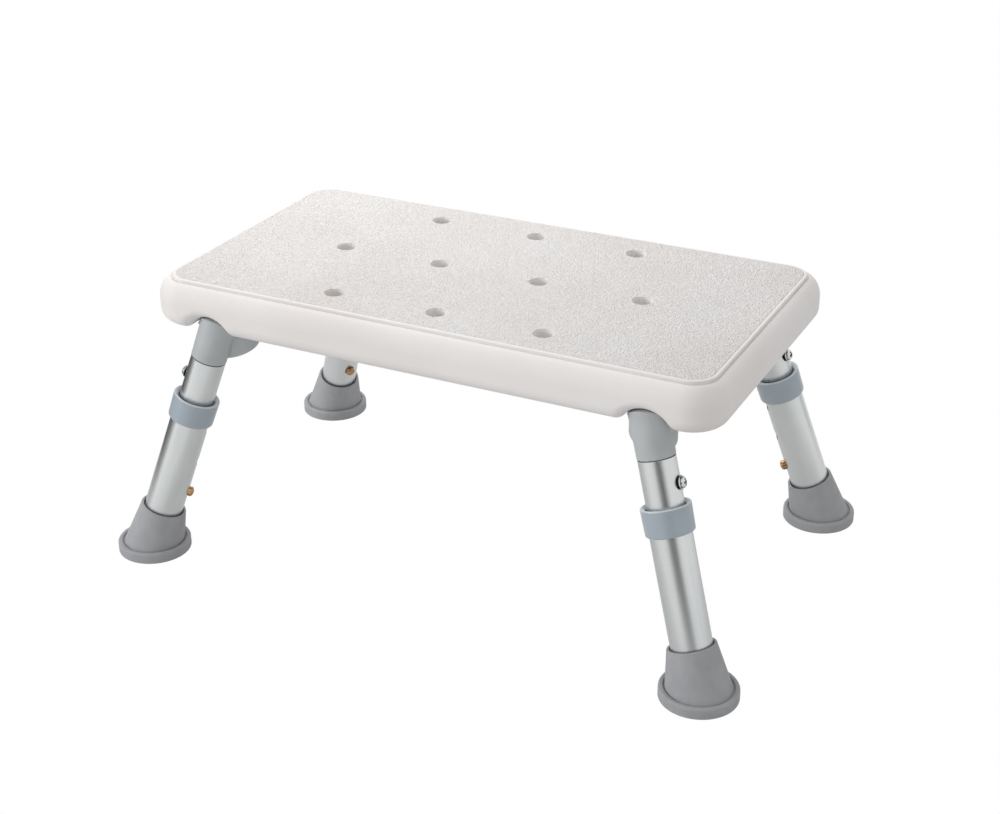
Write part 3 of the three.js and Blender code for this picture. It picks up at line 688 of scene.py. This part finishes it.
def set_at_corners(blank, name, material, slot, body, node, crease=32):
    """Four pieces from one blank, mirrored to the corners. The blank is used up."""
    for corner, (side_x, side_y) in corners.items():
        mesh = blank.data.copy()
        mesh.transform(Matrix.Diagonal((side_x, side_y, 1, 1)))
        if side_x * side_y < 0:
            mesh.flip_normals()
        piece = bpy.data.objects.new(name, mesh)
        bpy.context.scene.collection.objects.link(piece)
        smooth(piece, crease)
        where = body if body in (None, "stool_top") else f"{body}_{corner}"
        show(piece, f"{name}_{corner}", material, slot, where, f"{node}_{corner}")
    bpy.data.objects.remove(blank)


set_at_corners(
    socket, "socket_moulding", socket_finish(), "socket", "stool_top", "leg_socket", 28
)

# ------------------------------------------------------------------ bolts and inserts
# A bright socket-head bolt goes up through each hub into a turned brass insert, which is
# moulded into the seat and out of sight.

bolt_radius = 0.0029
bolt_edge = 0.0005
hex_radius = 0.0026
hex_depth = 0.0022
metal_grain_per_metre = 900.0
metal_grain_depth = 0.00002
metal_clouds_per_grain = 0.07
steel_bright = (0.62, 0.62, 0.61, 1)
steel_dull = (0.40, 0.40, 0.395, 1)
brass_light = (0.80, 0.60, 0.26, 1)
brass_dark = (0.62, 0.44, 0.18, 1)


def metal_finish(name, light, dark, roughness, grain=metal_grain_per_metre):
    """Bare or plated metal: a fine grain, and clouds of a duller tone."""
    material = start_finish(name, Metallic=1.0)
    place = spot()
    fine = place.noise(grain, 4.0, 0.65)
    tone = place.noise(grain * metal_clouds_per_grain, 3.0).ease(0.3, 0.7).between(light, dark)
    rough = roughness + fine * 0.15
    return vary(material, Base_Color=tone, Roughness=rough, Normal=fine.bump(metal_grain_depth))


bolt_steel = metal_finish("bright_steel", steel_bright, steel_dull, 0.16)
head_edge = bolt_head_radius - bolt_edge
head_top = bolt_low.z + bolt_head_height
bolt_profile = [
    (0, bolt_low.z),
    (head_edge, bolt_low.z),
    *arc(head_edge, bolt_low.z + bolt_edge, bolt_edge, 270, 360, 5)[1:],
    (bolt_head_radius, head_top),
    (bolt_radius, head_top),
    (bolt_radius, bolt_high.z - bolt_edge),
    (bolt_radius - bolt_edge, bolt_high.z),
    (0, bolt_high.z),
]
bolt = solid(moved(turned(bolt_profile, 48), hub_place))
hex_place = hub_place @ Matrix.Translation((0, 0, bolt_low.z))
cut(bolt, moved(pin(hex_radius, -hex_depth, hex_depth, 6), hex_place))
set_at_corners(bolt, "hub_bolt", bolt_steel, "steel", "stool_top", "seat_bolt", 28)

insert_brass = metal_finish("turned_brass", brass_light, brass_dark, 0.24)


def refinish(node, material):
    """Gives a CAD node that stays as it is a finish of its own."""
    for corner in corners:
        mesh = frame["nodes"][f"{node}_{corner}"].data
        mesh.materials.clear()
        mesh.materials.append(material)


refinish("seat_insert", insert_brass)

# ------------------------------------------------------------------ upper tubes
# Thin drawn aluminium tube with a satin anodised skin. Each is pushed over its socket's
# spigot, and a cross-head screw in its side holds it there.

tube_wall = 0.0012
tube_edge = 0.00012
button_hole_radius = 0.0039
screw_hole_radius = 0.0024
drill_start = 0.002
drill_end = 0.03
draw_lines_per_metre = 1500.0
speckles_per_metre = 2400.0
tube_clouds_per_metre = 60.0
draw_line_depth = 0.000035
anodised_skin = 0.0003
mark_shift = (0.031, 0.057, 0.0)
aluminium_light = (0.665, 0.68, 0.68, 1)
aluminium_dark = (0.60, 0.62, 0.62, 1)
dull_cut_and_painted_shade = (0.16, 0.16, 0.16, 1)

button_low, button_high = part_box("snap_button_back_right")
button_depth = -(to_leg @ ((button_low + button_high) / 2)).z
screw_mesh = frame["nodes"]["tube_screw_back_right"].data
screw_points = [to_leg @ vertex.co for vertex in screw_mesh.vertices]
screw_middle = sum(screw_points, Vector()) / len(screw_points)
screw_depth = -screw_middle.z
screw_turn = math.atan2(screw_middle.y, screw_middle.x)


def tube(radius, start, stop):
    """A length of tube on the leg's axis, its four edges just broken."""
    bore = radius - tube_wall
    edge = tube_edge
    profile = [
        (bore, -stop + edge),
        (bore + edge, -stop),
        (radius - edge, -stop),
        (radius, -stop + edge),
        (radius, -start - edge),
        (radius - edge, -start),
        (bore + edge, -start),
        (bore, -start - edge),
    ]
    return moved(turned(profile, 128, loop=True), leg_place)


def sideways(depth, turn):
    """The place of what points out of the leg's side, at a depth down the leg."""
    aside = Matrix.Rotation(turn, 4, "Z") @ Matrix.Rotation(math.pi / 2, 4, "Y")
    return Matrix.Translation((0, 0, -depth)) @ aside


def drill(tube_piece, radius, depth, turn):
    """Drills a hole through one wall of a tube, square to the leg."""
    bit = moved(pin(radius, drill_start, drill_end), sideways(depth, turn))
    cut(tube_piece, moved(bit, leg_place))


def leg_spot():
    """The point on a leg's piece, from the leg's own axis: the same for all four legs."""
    outward = spot().vector("ABSOLUTE")
    root = leg_place.to_translation()
    sockets = {"Vector": outward, "Location": root, "Rotation": (0, -leg_lean, leg_heading)}
    return Signal.make("ShaderNodeMapping", {"vector_type": "TEXTURE"}, sockets)


def own_spot(along):
    """The same point, moved so that no two legs have the same marks."""
    apart = spot().vector("SIGN").stretched(mark_shift)
    return along.vector("ADD", apart)


def drawn_finish(name, radius):
    """Satin anodised aluminium: fine draw lines along the tube, soft clouds, dull cut edges, and the bore and hole
    walls painted near black as shade.
    """
    material = start_finish(name, Metallic=1.0)
    along = leg_spot()
    place = own_spot(along)
    from_axis = along.stretched((1.0, 1.0, 0.0)).vector("LENGTH", output="Value")
    on_skin = from_axis.ease(radius - anodised_skin, radius - anodised_skin / 6)
    lines = place.stretched((1.0, 1.0, 0.012)).noise(draw_lines_per_metre, 3.0, 0.6)
    speckle = place.noise(speckles_per_metre, 2.0)
    cloud = place.stretched((1.0, 1.0, 0.25)).noise(tube_clouds_per_metre, 3.0)
    worn = (cloud * 0.6 + lines * 0.4).ease(0.35, 0.68)
    # Off the anodised skin, the ends, the bore and the drilled holes' walls are near black: dull cut metal, and
    # painted shade inside the tube and its holes.
    tone = on_skin.between(dull_cut_and_painted_shade, worn.between(aluminium_light, aluminium_dark))
    roughness = 0.27 + lines * 0.10 + speckle * 0.05
    normal = (lines * 0.7 + speckle * 0.3).bump(draw_line_depth)
    return vary(material, Base_Color=tone, Roughness=roughness, Normal=normal)


upper_tube = solid(tube(inner_radius, inner_top, inner_end))
drill(upper_tube, button_hole_radius, button_depth, math.pi)
drill(upper_tube, screw_hole_radius, screw_depth, screw_turn)
upper_aluminium = drawn_finish("satin_aluminium_upper", inner_radius)
set_at_corners(upper_tube, "upper_tube", upper_aluminium, "tube", "stool_top", "inner_tube")

# ------------------------------------------------------------------ tube screws
# Bright pan-head screws with a cross recess; the washer and the neck are painted black as shade.
# Each is driven through the upper tube into the socket's spigot, on the outer side of its leg.

screw_head_radius = 0.0047
screw_head_height = 0.0039
screw_washer = 0.0008
screw_flange = 0.0007
screw_neck = 0.0005
washer_edge = 0.0003
flange_step = 0.0002
screw_neck_radius = 0.0033
screw_dome_radius = 0.0039
painted_shade_black = (0.05, 0.05, 0.05, 1)
screw_radius = 0.0021
screw_length = 0.008
cross_width = 0.0013
cross_span = 0.005
cross_depth = 0.0018

screw_seat = inner_radius + seam_gap
screw_top = screw_seat + screw_head_height
screw_place = leg_place @ sideways(screw_depth, screw_turn)
flange_foot = screw_seat + screw_washer
neck_foot = flange_foot + screw_flange
dome_foot = neck_foot + screw_neck
screw_end = screw_seat - screw_length
screw_profile = [
    (0, screw_end),
    (screw_radius, screw_end + screw_radius),
    (screw_radius, screw_seat),
    (screw_head_radius - washer_edge, screw_seat),
    (screw_head_radius, screw_seat + washer_edge),
    (screw_head_radius, flange_foot - flange_step / 2),
    (screw_head_radius - flange_step, flange_foot),
    (screw_head_radius - flange_step, neck_foot - flange_step),
    (screw_head_radius - 2 * flange_step, neck_foot),
    (screw_neck_radius, neck_foot),
    (screw_neck_radius, dome_foot),
    *arc(0, dome_foot, screw_dome_radius, 0, 90, 14, screw_top - dome_foot)[:-1],
    (0, screw_top),
]
screw = solid(turned(screw_profile, 64))
for span_x, span_y in ((cross_span, cross_width), (cross_width, cross_span)):
    x, y = span_x / 2, span_y / 2
    arm = [(-x, -y), (x, -y), (x, y), (-x, y)]
    levels = (screw_top - cross_depth, screw_top + overcut)
    cut(screw, skin([[Vector((*point, level)) for point in arm] for level in levels]))
screw.data.transform(screw_place)


def screw_finish():
    """Bright plated head; the washer under it and the neck below its dome are painted black as shade."""
    material = start_finish("screw_steel", Metallic=1.0)
    along = leg_spot()
    outward = (math.cos(screw_turn), math.sin(screw_turn), 0)
    height = along.vector("DOT_PRODUCT", outward, "Value")
    on_flange = height.ease(flange_foot - 0.00008, flange_foot + 0.00002)
    on_neck = height.ease(neck_foot + 0.00002, neck_foot + 0.0001)
    on_dome = height.ease(dome_foot - 0.0001, dome_foot + 0.00005)
    # Painted shade: the washer and the neck below the dome are near black; the flange and the dome stay bright.
    bright = on_flange * (1 - on_neck) + on_dome
    fine = own_spot(along).noise(metal_grain_per_metre, 4.0, 0.65)
    tone = bright.between(painted_shade_black, steel_bright)
    rough = 0.30 - bright * 0.18 + fine * 0.12
    return vary(material, Base_Color=tone, Roughness=rough, Normal=fine.bump(metal_grain_depth))


set_at_corners(screw, "cross_head_screw", screw_finish(), "steel", "stool_top", "tube_screw", 28)

# ------------------------------------------------------------------ lower tubes
# The wider tube, of the same satin aluminium, with a row of three locking holes down its
# inner side. It slides on the upper tube.

locking_hole_radius = 0.0041
outer_top, outer_end, outer_radius = span("outer_tube_back_right")
travels = {joint["child"]: joint["range_m"][1] for joint in frame["joints"]}
height_travel = travels["lower_leg_back_right"]

lower_tube = solid(tube(outer_radius, outer_top, outer_end))
for stage in (0, 0.5, 1):
    drill(lower_tube, locking_hole_radius, button_depth - stage * height_travel, math.pi)
lower_aluminium = drawn_finish("satin_aluminium_lower", outer_radius)
set_at_corners(lower_tube, "lower_tube", lower_aluminium, "tube", "lower_leg", "outer_tube")

# ------------------------------------------------------------------ collars
# Blue-grey nylon rings pressed over the top of the lower tubes. Each has a thin upper rim
# and a mouth that funnels in to the upper tube.

collar_top, collar_end = span("collar_back_right")[:2]
collar_radius = 0.0167
collar_foot_radius = 0.0163
collar_rim = 0.0013
collar_edge = 0.0009
collar_funnel = 0.0014
collar_bore_play = 0.0006
collar_chamfer = 0.0011
rim_highlight_reach = (0.0002, 0.0012)
collar_grain_per_metre = 1100.0
collar_grain_depth = 0.00004
collar_blue_grey = (0.40, 0.46, 0.51, 1)
collar_shade = (0.37, 0.43, 0.48, 1)
collar_painted_highlight = (0.66, 0.70, 0.73, 1)

press_bore = outer_radius + seam_gap
collar_foot_edge = collar_foot_radius - collar_chamfer
collar_top_edge = collar_radius - collar_edge
collar_mouth = inner_radius + collar_bore_play
collar_profile = [
    (press_bore, -collar_end),
    (collar_foot_edge, -collar_end),
    *arc(collar_foot_edge, collar_chamfer - collar_end, collar_chamfer, 270, 360, 6)[1:],
    *arc(collar_top_edge, -collar_top - collar_edge, collar_edge, 0, 90, 4),
    (collar_radius - collar_rim, -collar_top),
    (collar_mouth, -collar_top - collar_funnel),
    (collar_mouth, -outer_top + seam_gap),
    (press_bore, -outer_top + seam_gap),
]
collar = solid(moved(turned(collar_profile, 128, loop=True), leg_place))


def collar_finish():
    """Glossy moulded nylon, with a highlight painted lighter on the rim and in the mouth."""
    material = start_finish("blue_grey_nylon", IOR=1.53, Specular_IOR_Level=0.5)
    along = leg_spot()
    place = own_spot(along)
    fine = place.noise(collar_grain_per_metre, 3.0, 0.6)
    cloud = place.noise(nylon_clouds_per_metre, 3.0).ease(0.3, 0.75)
    # Painted highlight: the top millimetre of the collar, its rim and its mouth, is coloured lighter.
    painted_rim_highlight = 1 - (along.part("Z") * -1.0 - collar_top).ease(*rim_highlight_reach)
    tone = painted_rim_highlight.between(cloud.between(collar_blue_grey, collar_shade), collar_painted_highlight)
    rough = 0.25 + fine * 0.1
    return vary(material, Base_Color=tone, Roughness=rough, Normal=fine.bump(collar_grain_depth))


set_at_corners(collar, "collar_ring", collar_finish(), "collar", "lower_leg", "collar", 28)

# ------------------------------------------------------------------ rubber feet
# Mid-grey rubber, moulded in one: a flat round flange, and a cone that leans from it to a
# rim square to the tube. A steel disc in its bore keeps the tube's end off the rubber.

foot_rim = span("foot_back_right")[0]
flange_radius = 0.0266
flange_height = 0.008
flange_round = 0.0016
sole_round = 0.0006
cone_radius = 0.0223
cone_steps = 8
rim_wall = 0.0023
rim_round = 0.0006
mouth_flare = 0.0008
mouth_depth = 0.0025
crease_width = 0.0013
crease_depth = 0.0014
sole_groove_radius = 0.014
sole_groove_width = 0.003
sole_groove_depth = 0.0014
rubber_grey = (0.40, 0.405, 0.42, 1)
rubber_shade = (0.355, 0.36, 0.375, 1)
rubber_grain_per_metre = 1300.0
rubber_grain_depth = 0.00009
dust_per_metre = 70.0

disc_face = span("foot_disc_back_right")[1] + seam_gap
flange_centre = leg_point(flange_height)


def level_ring(radius, height, segments=128):
    """Points round the flange's upright axis."""
    x, y = flange_centre.x, flange_centre.y
    return [Vector((x + dx, y + dy, height)) for dx, dy in circle(radius, segments)]


def tilted_ring(radius, depth, segments=128):
    """Points round the leg's axis, which start on the same side as a level ring's."""
    points = circle(radius, segments, -leg_heading)
    return [leg_place @ Vector((x, y, -depth)) for x, y in points]


rim_radius = press_bore + rim_wall
groove_outer = sole_groove_radius + sole_groove_width
foot_rings = [
    [Vector((flange_centre.x, flange_centre.y, 0))],
    level_ring(sole_groove_radius, 0),
    level_ring(sole_groove_radius, sole_groove_depth),
    level_ring(groove_outer, sole_groove_depth),
    level_ring(groove_outer, 0),
]
flange_edge = flange_radius - flange_round
sole_edge = arc(flange_edge, sole_round, flange_round, 270, 360, 4, sole_round)
top_edge = arc(flange_edge, flange_height - flange_round, flange_round, 0, 90, 8)
foot_rings += [level_ring(radius, height) for radius, height in sole_edge + top_edge]
crease_floor = flange_height - crease_depth
foot_rings.append(level_ring(cone_radius + crease_width, flange_height))
foot_rings.append(level_ring(cone_radius + crease_width / 2, crease_floor))
cone_low = level_ring(cone_radius, crease_floor)
cone_high = tilted_ring(rim_radius, foot_rim + rim_round)
for step in range(cone_steps + 1):
    share = step / cone_steps
    foot_rings.append([low.lerp(high, share) for low, high in zip(cone_low, cone_high)])
rim_edge = arc(rim_radius - rim_round, -foot_rim - rim_round, rim_round, 0, 90, 5)[1:]
foot_rings += [tilted_ring(radius, -depth) for radius, depth in rim_edge]
foot_rings += [
    tilted_ring(press_bore + mouth_flare, foot_rim),
    tilted_ring(press_bore, foot_rim + mouth_depth),
    tilted_ring(press_bore, disc_face),
    [leg_place @ Vector((0, 0, -disc_face))],
]


def rubber_finish():
    """Matt moulded rubber, a little dusty, with a fine pitted grain."""
    material = start_finish("grey_rubber", Specular_IOR_Level=0.35)
    place = spot()
    fine = place.noise(rubber_grain_per_metre, 4.0, 0.65)
    dust = place.noise(dust_per_metre, 4.0, 0.6)
    tone = dust.ease(0.3, 0.72).between(rubber_grey, rubber_shade)
    rough = 0.62 + fine * 0.16
    return vary(material, Base_Color=tone, Roughness=rough, Normal=fine.bump(rubber_grain_depth))


foot = solid(skin(foot_rings))
set_at_corners(foot, "rubber_foot", rubber_finish(), "foot", "lower_leg", "foot", 28)
refinish("foot_disc", metal_finish("zinc_plated_steel", steel_dull, steel_bright, 0.34))

# ------------------------------------------------------------------ snap buttons
# Domed copper-coloured buttons on bent leaf springs. A button stands out of the upper
# tube through one of the lower tube's holes, and is pressed in to change the height.

button_radius = 0.0036
button_proud = 0.0038
button_dome = 0.002
button_flange = 0.0009
button_flange_height = 0.0008
copper_bright = (0.62, 0.37, 0.17, 1)
copper_dark = (0.34, 0.19, 0.09, 1)
copper_grain_per_metre = 700.0

tube_bore = inner_radius - tube_wall
flange_reach = button_radius + button_flange
flange_seat = math.sqrt(tube_bore**2 - flange_reach**2) - seam_gap
button_back = flange_seat - button_flange_height
button_tip = outer_radius + button_proud
button_profile = [
    (0, button_back),
    (flange_reach, button_back),
    (flange_reach, flange_seat),
    (button_radius, flange_seat),
    *arc(0, button_tip - button_dome, button_radius, 0, 90, 14, button_dome)[:-1],
    (0, button_tip),
]
button_place = leg_place @ sideways(button_depth, math.pi)
button = solid(moved(turned(button_profile, 64), button_place))
copper = metal_finish("copper_plate", copper_bright, copper_dark, 0.18, copper_grain_per_metre)
set_at_corners(button, "domed_button", copper, "button", "locking_button", "snap_button", 28)

spring_thickness = 0.0007
spring_width = 0.006
spring_length = 0.026
spring_edge = 0.0001
spring_bend = 0.0034
half_thick = spring_thickness / 2
bend_radius = spring_bend + half_thick
front_arm = -(button_back - seam_gap - half_thick)
back_arm = math.sqrt(tube_bore**2 - (spring_width / 2) ** 2) - seam_gap - half_thick


def leaf_spring():
    """A strip bent to a hairpin: one arm behind the button, the other on the far wall."""
    middle = (front_arm + back_arm) / 2
    bend_height = spring_length - bend_radius

    def meets_bend(arm, turn):
        across, along = arm - middle, flange_reach - bend_height
        spread = math.acos(bend_radius / math.hypot(across, along))
        return math.degrees(math.atan2(along, across) + turn * spread)

    start, stop = meets_bend(front_arm, -1) + 360, meets_bend(back_arm, 1)
    bend = arc(middle, bend_height, bend_radius, start, stop, 32)
    shares = [step / 8 for step in range(1, 8)]

    def slope(foot, end):
        rise = end[1] - flange_reach
        return [(foot + (end[0] - foot) * share, flange_reach + rise * share) for share in shares]

    path = [(front_arm, -flange_reach), (front_arm, flange_reach)]
    path += [*slope(front_arm, bend[0]), *bend, *reversed(slope(back_arm, bend[-1]))]
    path += [(back_arm, flange_reach), (back_arm, -flange_reach)]
    wide, flat = spring_width / 2, spring_width / 2 - spring_edge
    side = half_thick - spring_edge
    face = [(wide, side), (flat, half_thick), (-flat, half_thick), (-wide, side)]
    section = face + [(-across, -out) for across, out in face]
    rings = []
    for i, (x, z) in enumerate(path):
        before, after = path[max(i - 1, 0)], path[min(i + 1, len(path) - 1)]
        outward = Vector((before[1] - after[1], 0, after[0] - before[0])).normalized()
        rings.append([Vector((x, across, z)) + outward * out for across, out in section])
    return skin(rings)


spring = solid(moved(leaf_spring(), leg_place @ Matrix.Translation((0, 0, -button_depth))))
spring_steel = metal_finish("spring_steel", steel_dull, steel_bright, 0.28)
set_at_corners(spring, "leaf_spring", spring_steel, "steel", None, "button_spring", 28)

# Each spring's place is baked into its mesh.
for corner, (side_x, side_y) in corners.items():
    spring = bpy.data.objects[f"leaf_spring_{corner}"]
    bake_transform(spring)

# ------------------------------------------------------------------ studio
# A pale floor under a pale sky, a soft lamp overhead and a broad one to the front left. In
# reflections the floor holds a painted shadow round the stool, and the sky a painted shade below
# the horizon. The camera looks down from above the stool's front right corner.

camera_place = Vector((0.5193, -1.0227, 0.6743))
camera_azimuth = math.radians(26.56)
camera_elevation = math.radians(26.42)
camera_roll = math.radians(-0.31)
camera_lens = 63.27

level_reach = math.cos(camera_elevation)
back = Vector(
    (
        math.sin(camera_azimuth) * level_reach,
        -math.cos(camera_azimuth) * level_reach,
        math.sin(camera_elevation),
    )
)
level = Vector((0, 0, 1)).cross(back).normalized()
upright = back.cross(level)
right = math.cos(camera_roll) * level + math.sin(camera_roll) * upright
up = math.cos(camera_roll) * upright - math.sin(camera_roll) * level
camera_data = bpy.data.cameras.new("camera")
camera_data.lens = camera_lens
camera_data.sensor_width = 36
camera = bpy.data.objects.new("camera", camera_data)
facing = Matrix((right, up, back)).transposed().to_4x4()
camera.matrix_world = Matrix.Translation(camera_place) @ facing
bpy.context.scene.collection.objects.link(camera)
bpy.context.scene.camera = camera

floor_reach = 12.0
floor_drop = 0.0002


def flat_panel(name, panel_corners, material):
    """One flat face with a material, for the studio."""
    mesh = bpy.data.meshes.new(name)
    mesh.from_pydata(panel_corners, [], [(0, 1, 2, 3)])
    mesh.materials.append(material)
    panel = bpy.data.objects.new(name, mesh)
    bpy.context.scene.collection.objects.link(panel)
    return panel


def is_ray(kind):
    """1 for one kind of ray, such as the camera's own, and 0 for the others."""
    return Signal.make("ShaderNodeLightPath", {}, {}, f"Is {kind} Ray")


def seen_directly():
    """1 for what the camera sees itself, in a mirror or through glass, and 0 for light."""
    mirrored_too = is_ray("Camera").maths("MAXIMUM", is_ray("Glossy"))
    return mirrored_too.maths("MAXIMUM", is_ray("Transmission"))


floor_whiteness = 0.95
shaded_whiteness = 0.36
shade_reach = (0.52, 0.27, 1)
shade_edge = (0.75, 1.35)
shadow_reach = (1.0, 2.5)
floor_material = bpy.data.materials.new("pale_floor")
floor_material.use_nodes = True
Signal.tree = floor_material.node_tree
Signal.tree.nodes.remove(Signal.tree.nodes["Principled BSDF"])
painted = Signal.make("ShaderNodeBsdfDiffuse", {}, {"Color": (0.7, 0.7, 0.7, 1)})
white = Signal.make("ShaderNodeEmission", {}, {"Color": (1, 1, 1, 1), "Strength": 1.0})
# Painted shadow: seen in reflections, the floor is darker round the stool, down to shaded_whiteness.
from_stool = spot().vector("DIVIDE", shade_reach).vector("LENGTH", output="Value")
shaded = 1 - from_stool.ease(*shade_edge)
shading = is_ray("Glossy") * shaded * (floor_whiteness - shaded_whiteness)
whiteness = seen_directly() * floor_whiteness - shading
plain_floor = Signal.make("ShaderNodeMixShader", {}, {0: whiteness, 1: painted, 2: white})

# The floor is clear from below, and nearly clear from above, so that a leg that is slid out
# past it is still seen whole. What is left of it holds the stool's shadow.
clear = Signal.make("ShaderNodeBsdfTransparent", {}, {"Color": (1, 1, 1, 1)})
from_below = Signal.make("ShaderNodeNewGeometry", {}, {}, "Backfacing")
far_off = spot().vector("LENGTH", output="Value").ease(*shadow_reach)
clearness = far_off * (1 - floor_whiteness) + floor_whiteness
opening = (is_ray("Camera") * clearness).maths("MAXIMUM", from_below)
floor_shader = Signal.make("ShaderNodeMixShader", {}, {0: opening, 1: plain_floor, 2: clear})
surface = Signal.tree.nodes["Material Output"].inputs["Surface"]
Signal.tree.links.new(floor_shader.socket, surface)
square = ((-1, -1), (1, -1), (1, 1), (-1, 1))
floor_corners = [(x * floor_reach, y * floor_reach, 0) for x, y in square]
floor = flat_panel("floor", floor_corners, floor_material)
floor.location.z = -floor_drop

sky_level = 0.68
horizon = (-0.35, 0.0)
below_whiteness = 0.55
world = bpy.data.worlds.new("studio")
world.use_nodes = True
bpy.context.scene.world = world
Signal.tree = world.node_tree
background = Signal.tree.nodes["Background"]
sky = seen_directly() * (1 - sky_level) + sky_level
upward = Signal.make("ShaderNodeTexCoord", {}, {}, "Generated").part("Z").ease(*horizon)
# Painted shade: reflections that look below the horizon see a darker sky, standing in for the shaded floor.
sky = sky - is_ray("Glossy") * (1 - upward) * (1 - below_whiteness)
Signal.tree.links.new(sky.socket, background.inputs["Strength"])
background.inputs["Color"].default_value = (1, 1, 1, 1)

# Dark flags, seen only in reflections: where each starts and stops on the floor, its
# height and its grey.
flag_roughness = 0.9
flags = {
    "front_flag": ((0.23, -0.6), (0.70, -0.6), 0.4, 0.03),
    "left_flag": ((-0.45, 0.06), (-0.45, -0.31), 0.35, 0.03),
    "back_flag": ((0.428, 0.393), (0.466, 0.361), 0.2, 0.03),
}
for name, (start, stop, height, grey) in flags.items():
    colour = (grey, grey, grey, 1)
    cloth = start_finish(f"{name}_cloth", Roughness=flag_roughness, Base_Color=colour)
    flag_corners = [(*start, 0), (*stop, 0), (*stop, height), (*start, height)]
    flag = flat_panel(name, flag_corners, cloth)
    flag.visible_camera = False
    flag.visible_diffuse = False
    flag.visible_shadow = False

# Square lamps, all aimed at one spot inside the stool: place, size and power.
lamp_aim = Vector((0, 0, 0.12))
lamps = [
    ("top_light", (-0.24, 0.17, 0.68), 0.3, 1.27),
    ("front_light", (-2.85, -1.92, 1.05), 1.4, 43.0),
]
for name, place, size, power in lamps:
    lamp = bpy.data.lights.new(name, "AREA")
    lamp.shape = "SQUARE"
    lamp.size = size
    lamp.energy = power
    holder = bpy.data.objects.new(name, lamp)
    holder.visible_camera = False
    toward = (lamp_aim - Vector(place)).to_track_quat("-Z", "Y").to_matrix().to_4x4()
    holder.matrix_world = Matrix.Translation(place) @ toward
    bpy.context.scene.collection.objects.link(holder)

bpy.context.scene.view_settings.view_transform = "Standard"
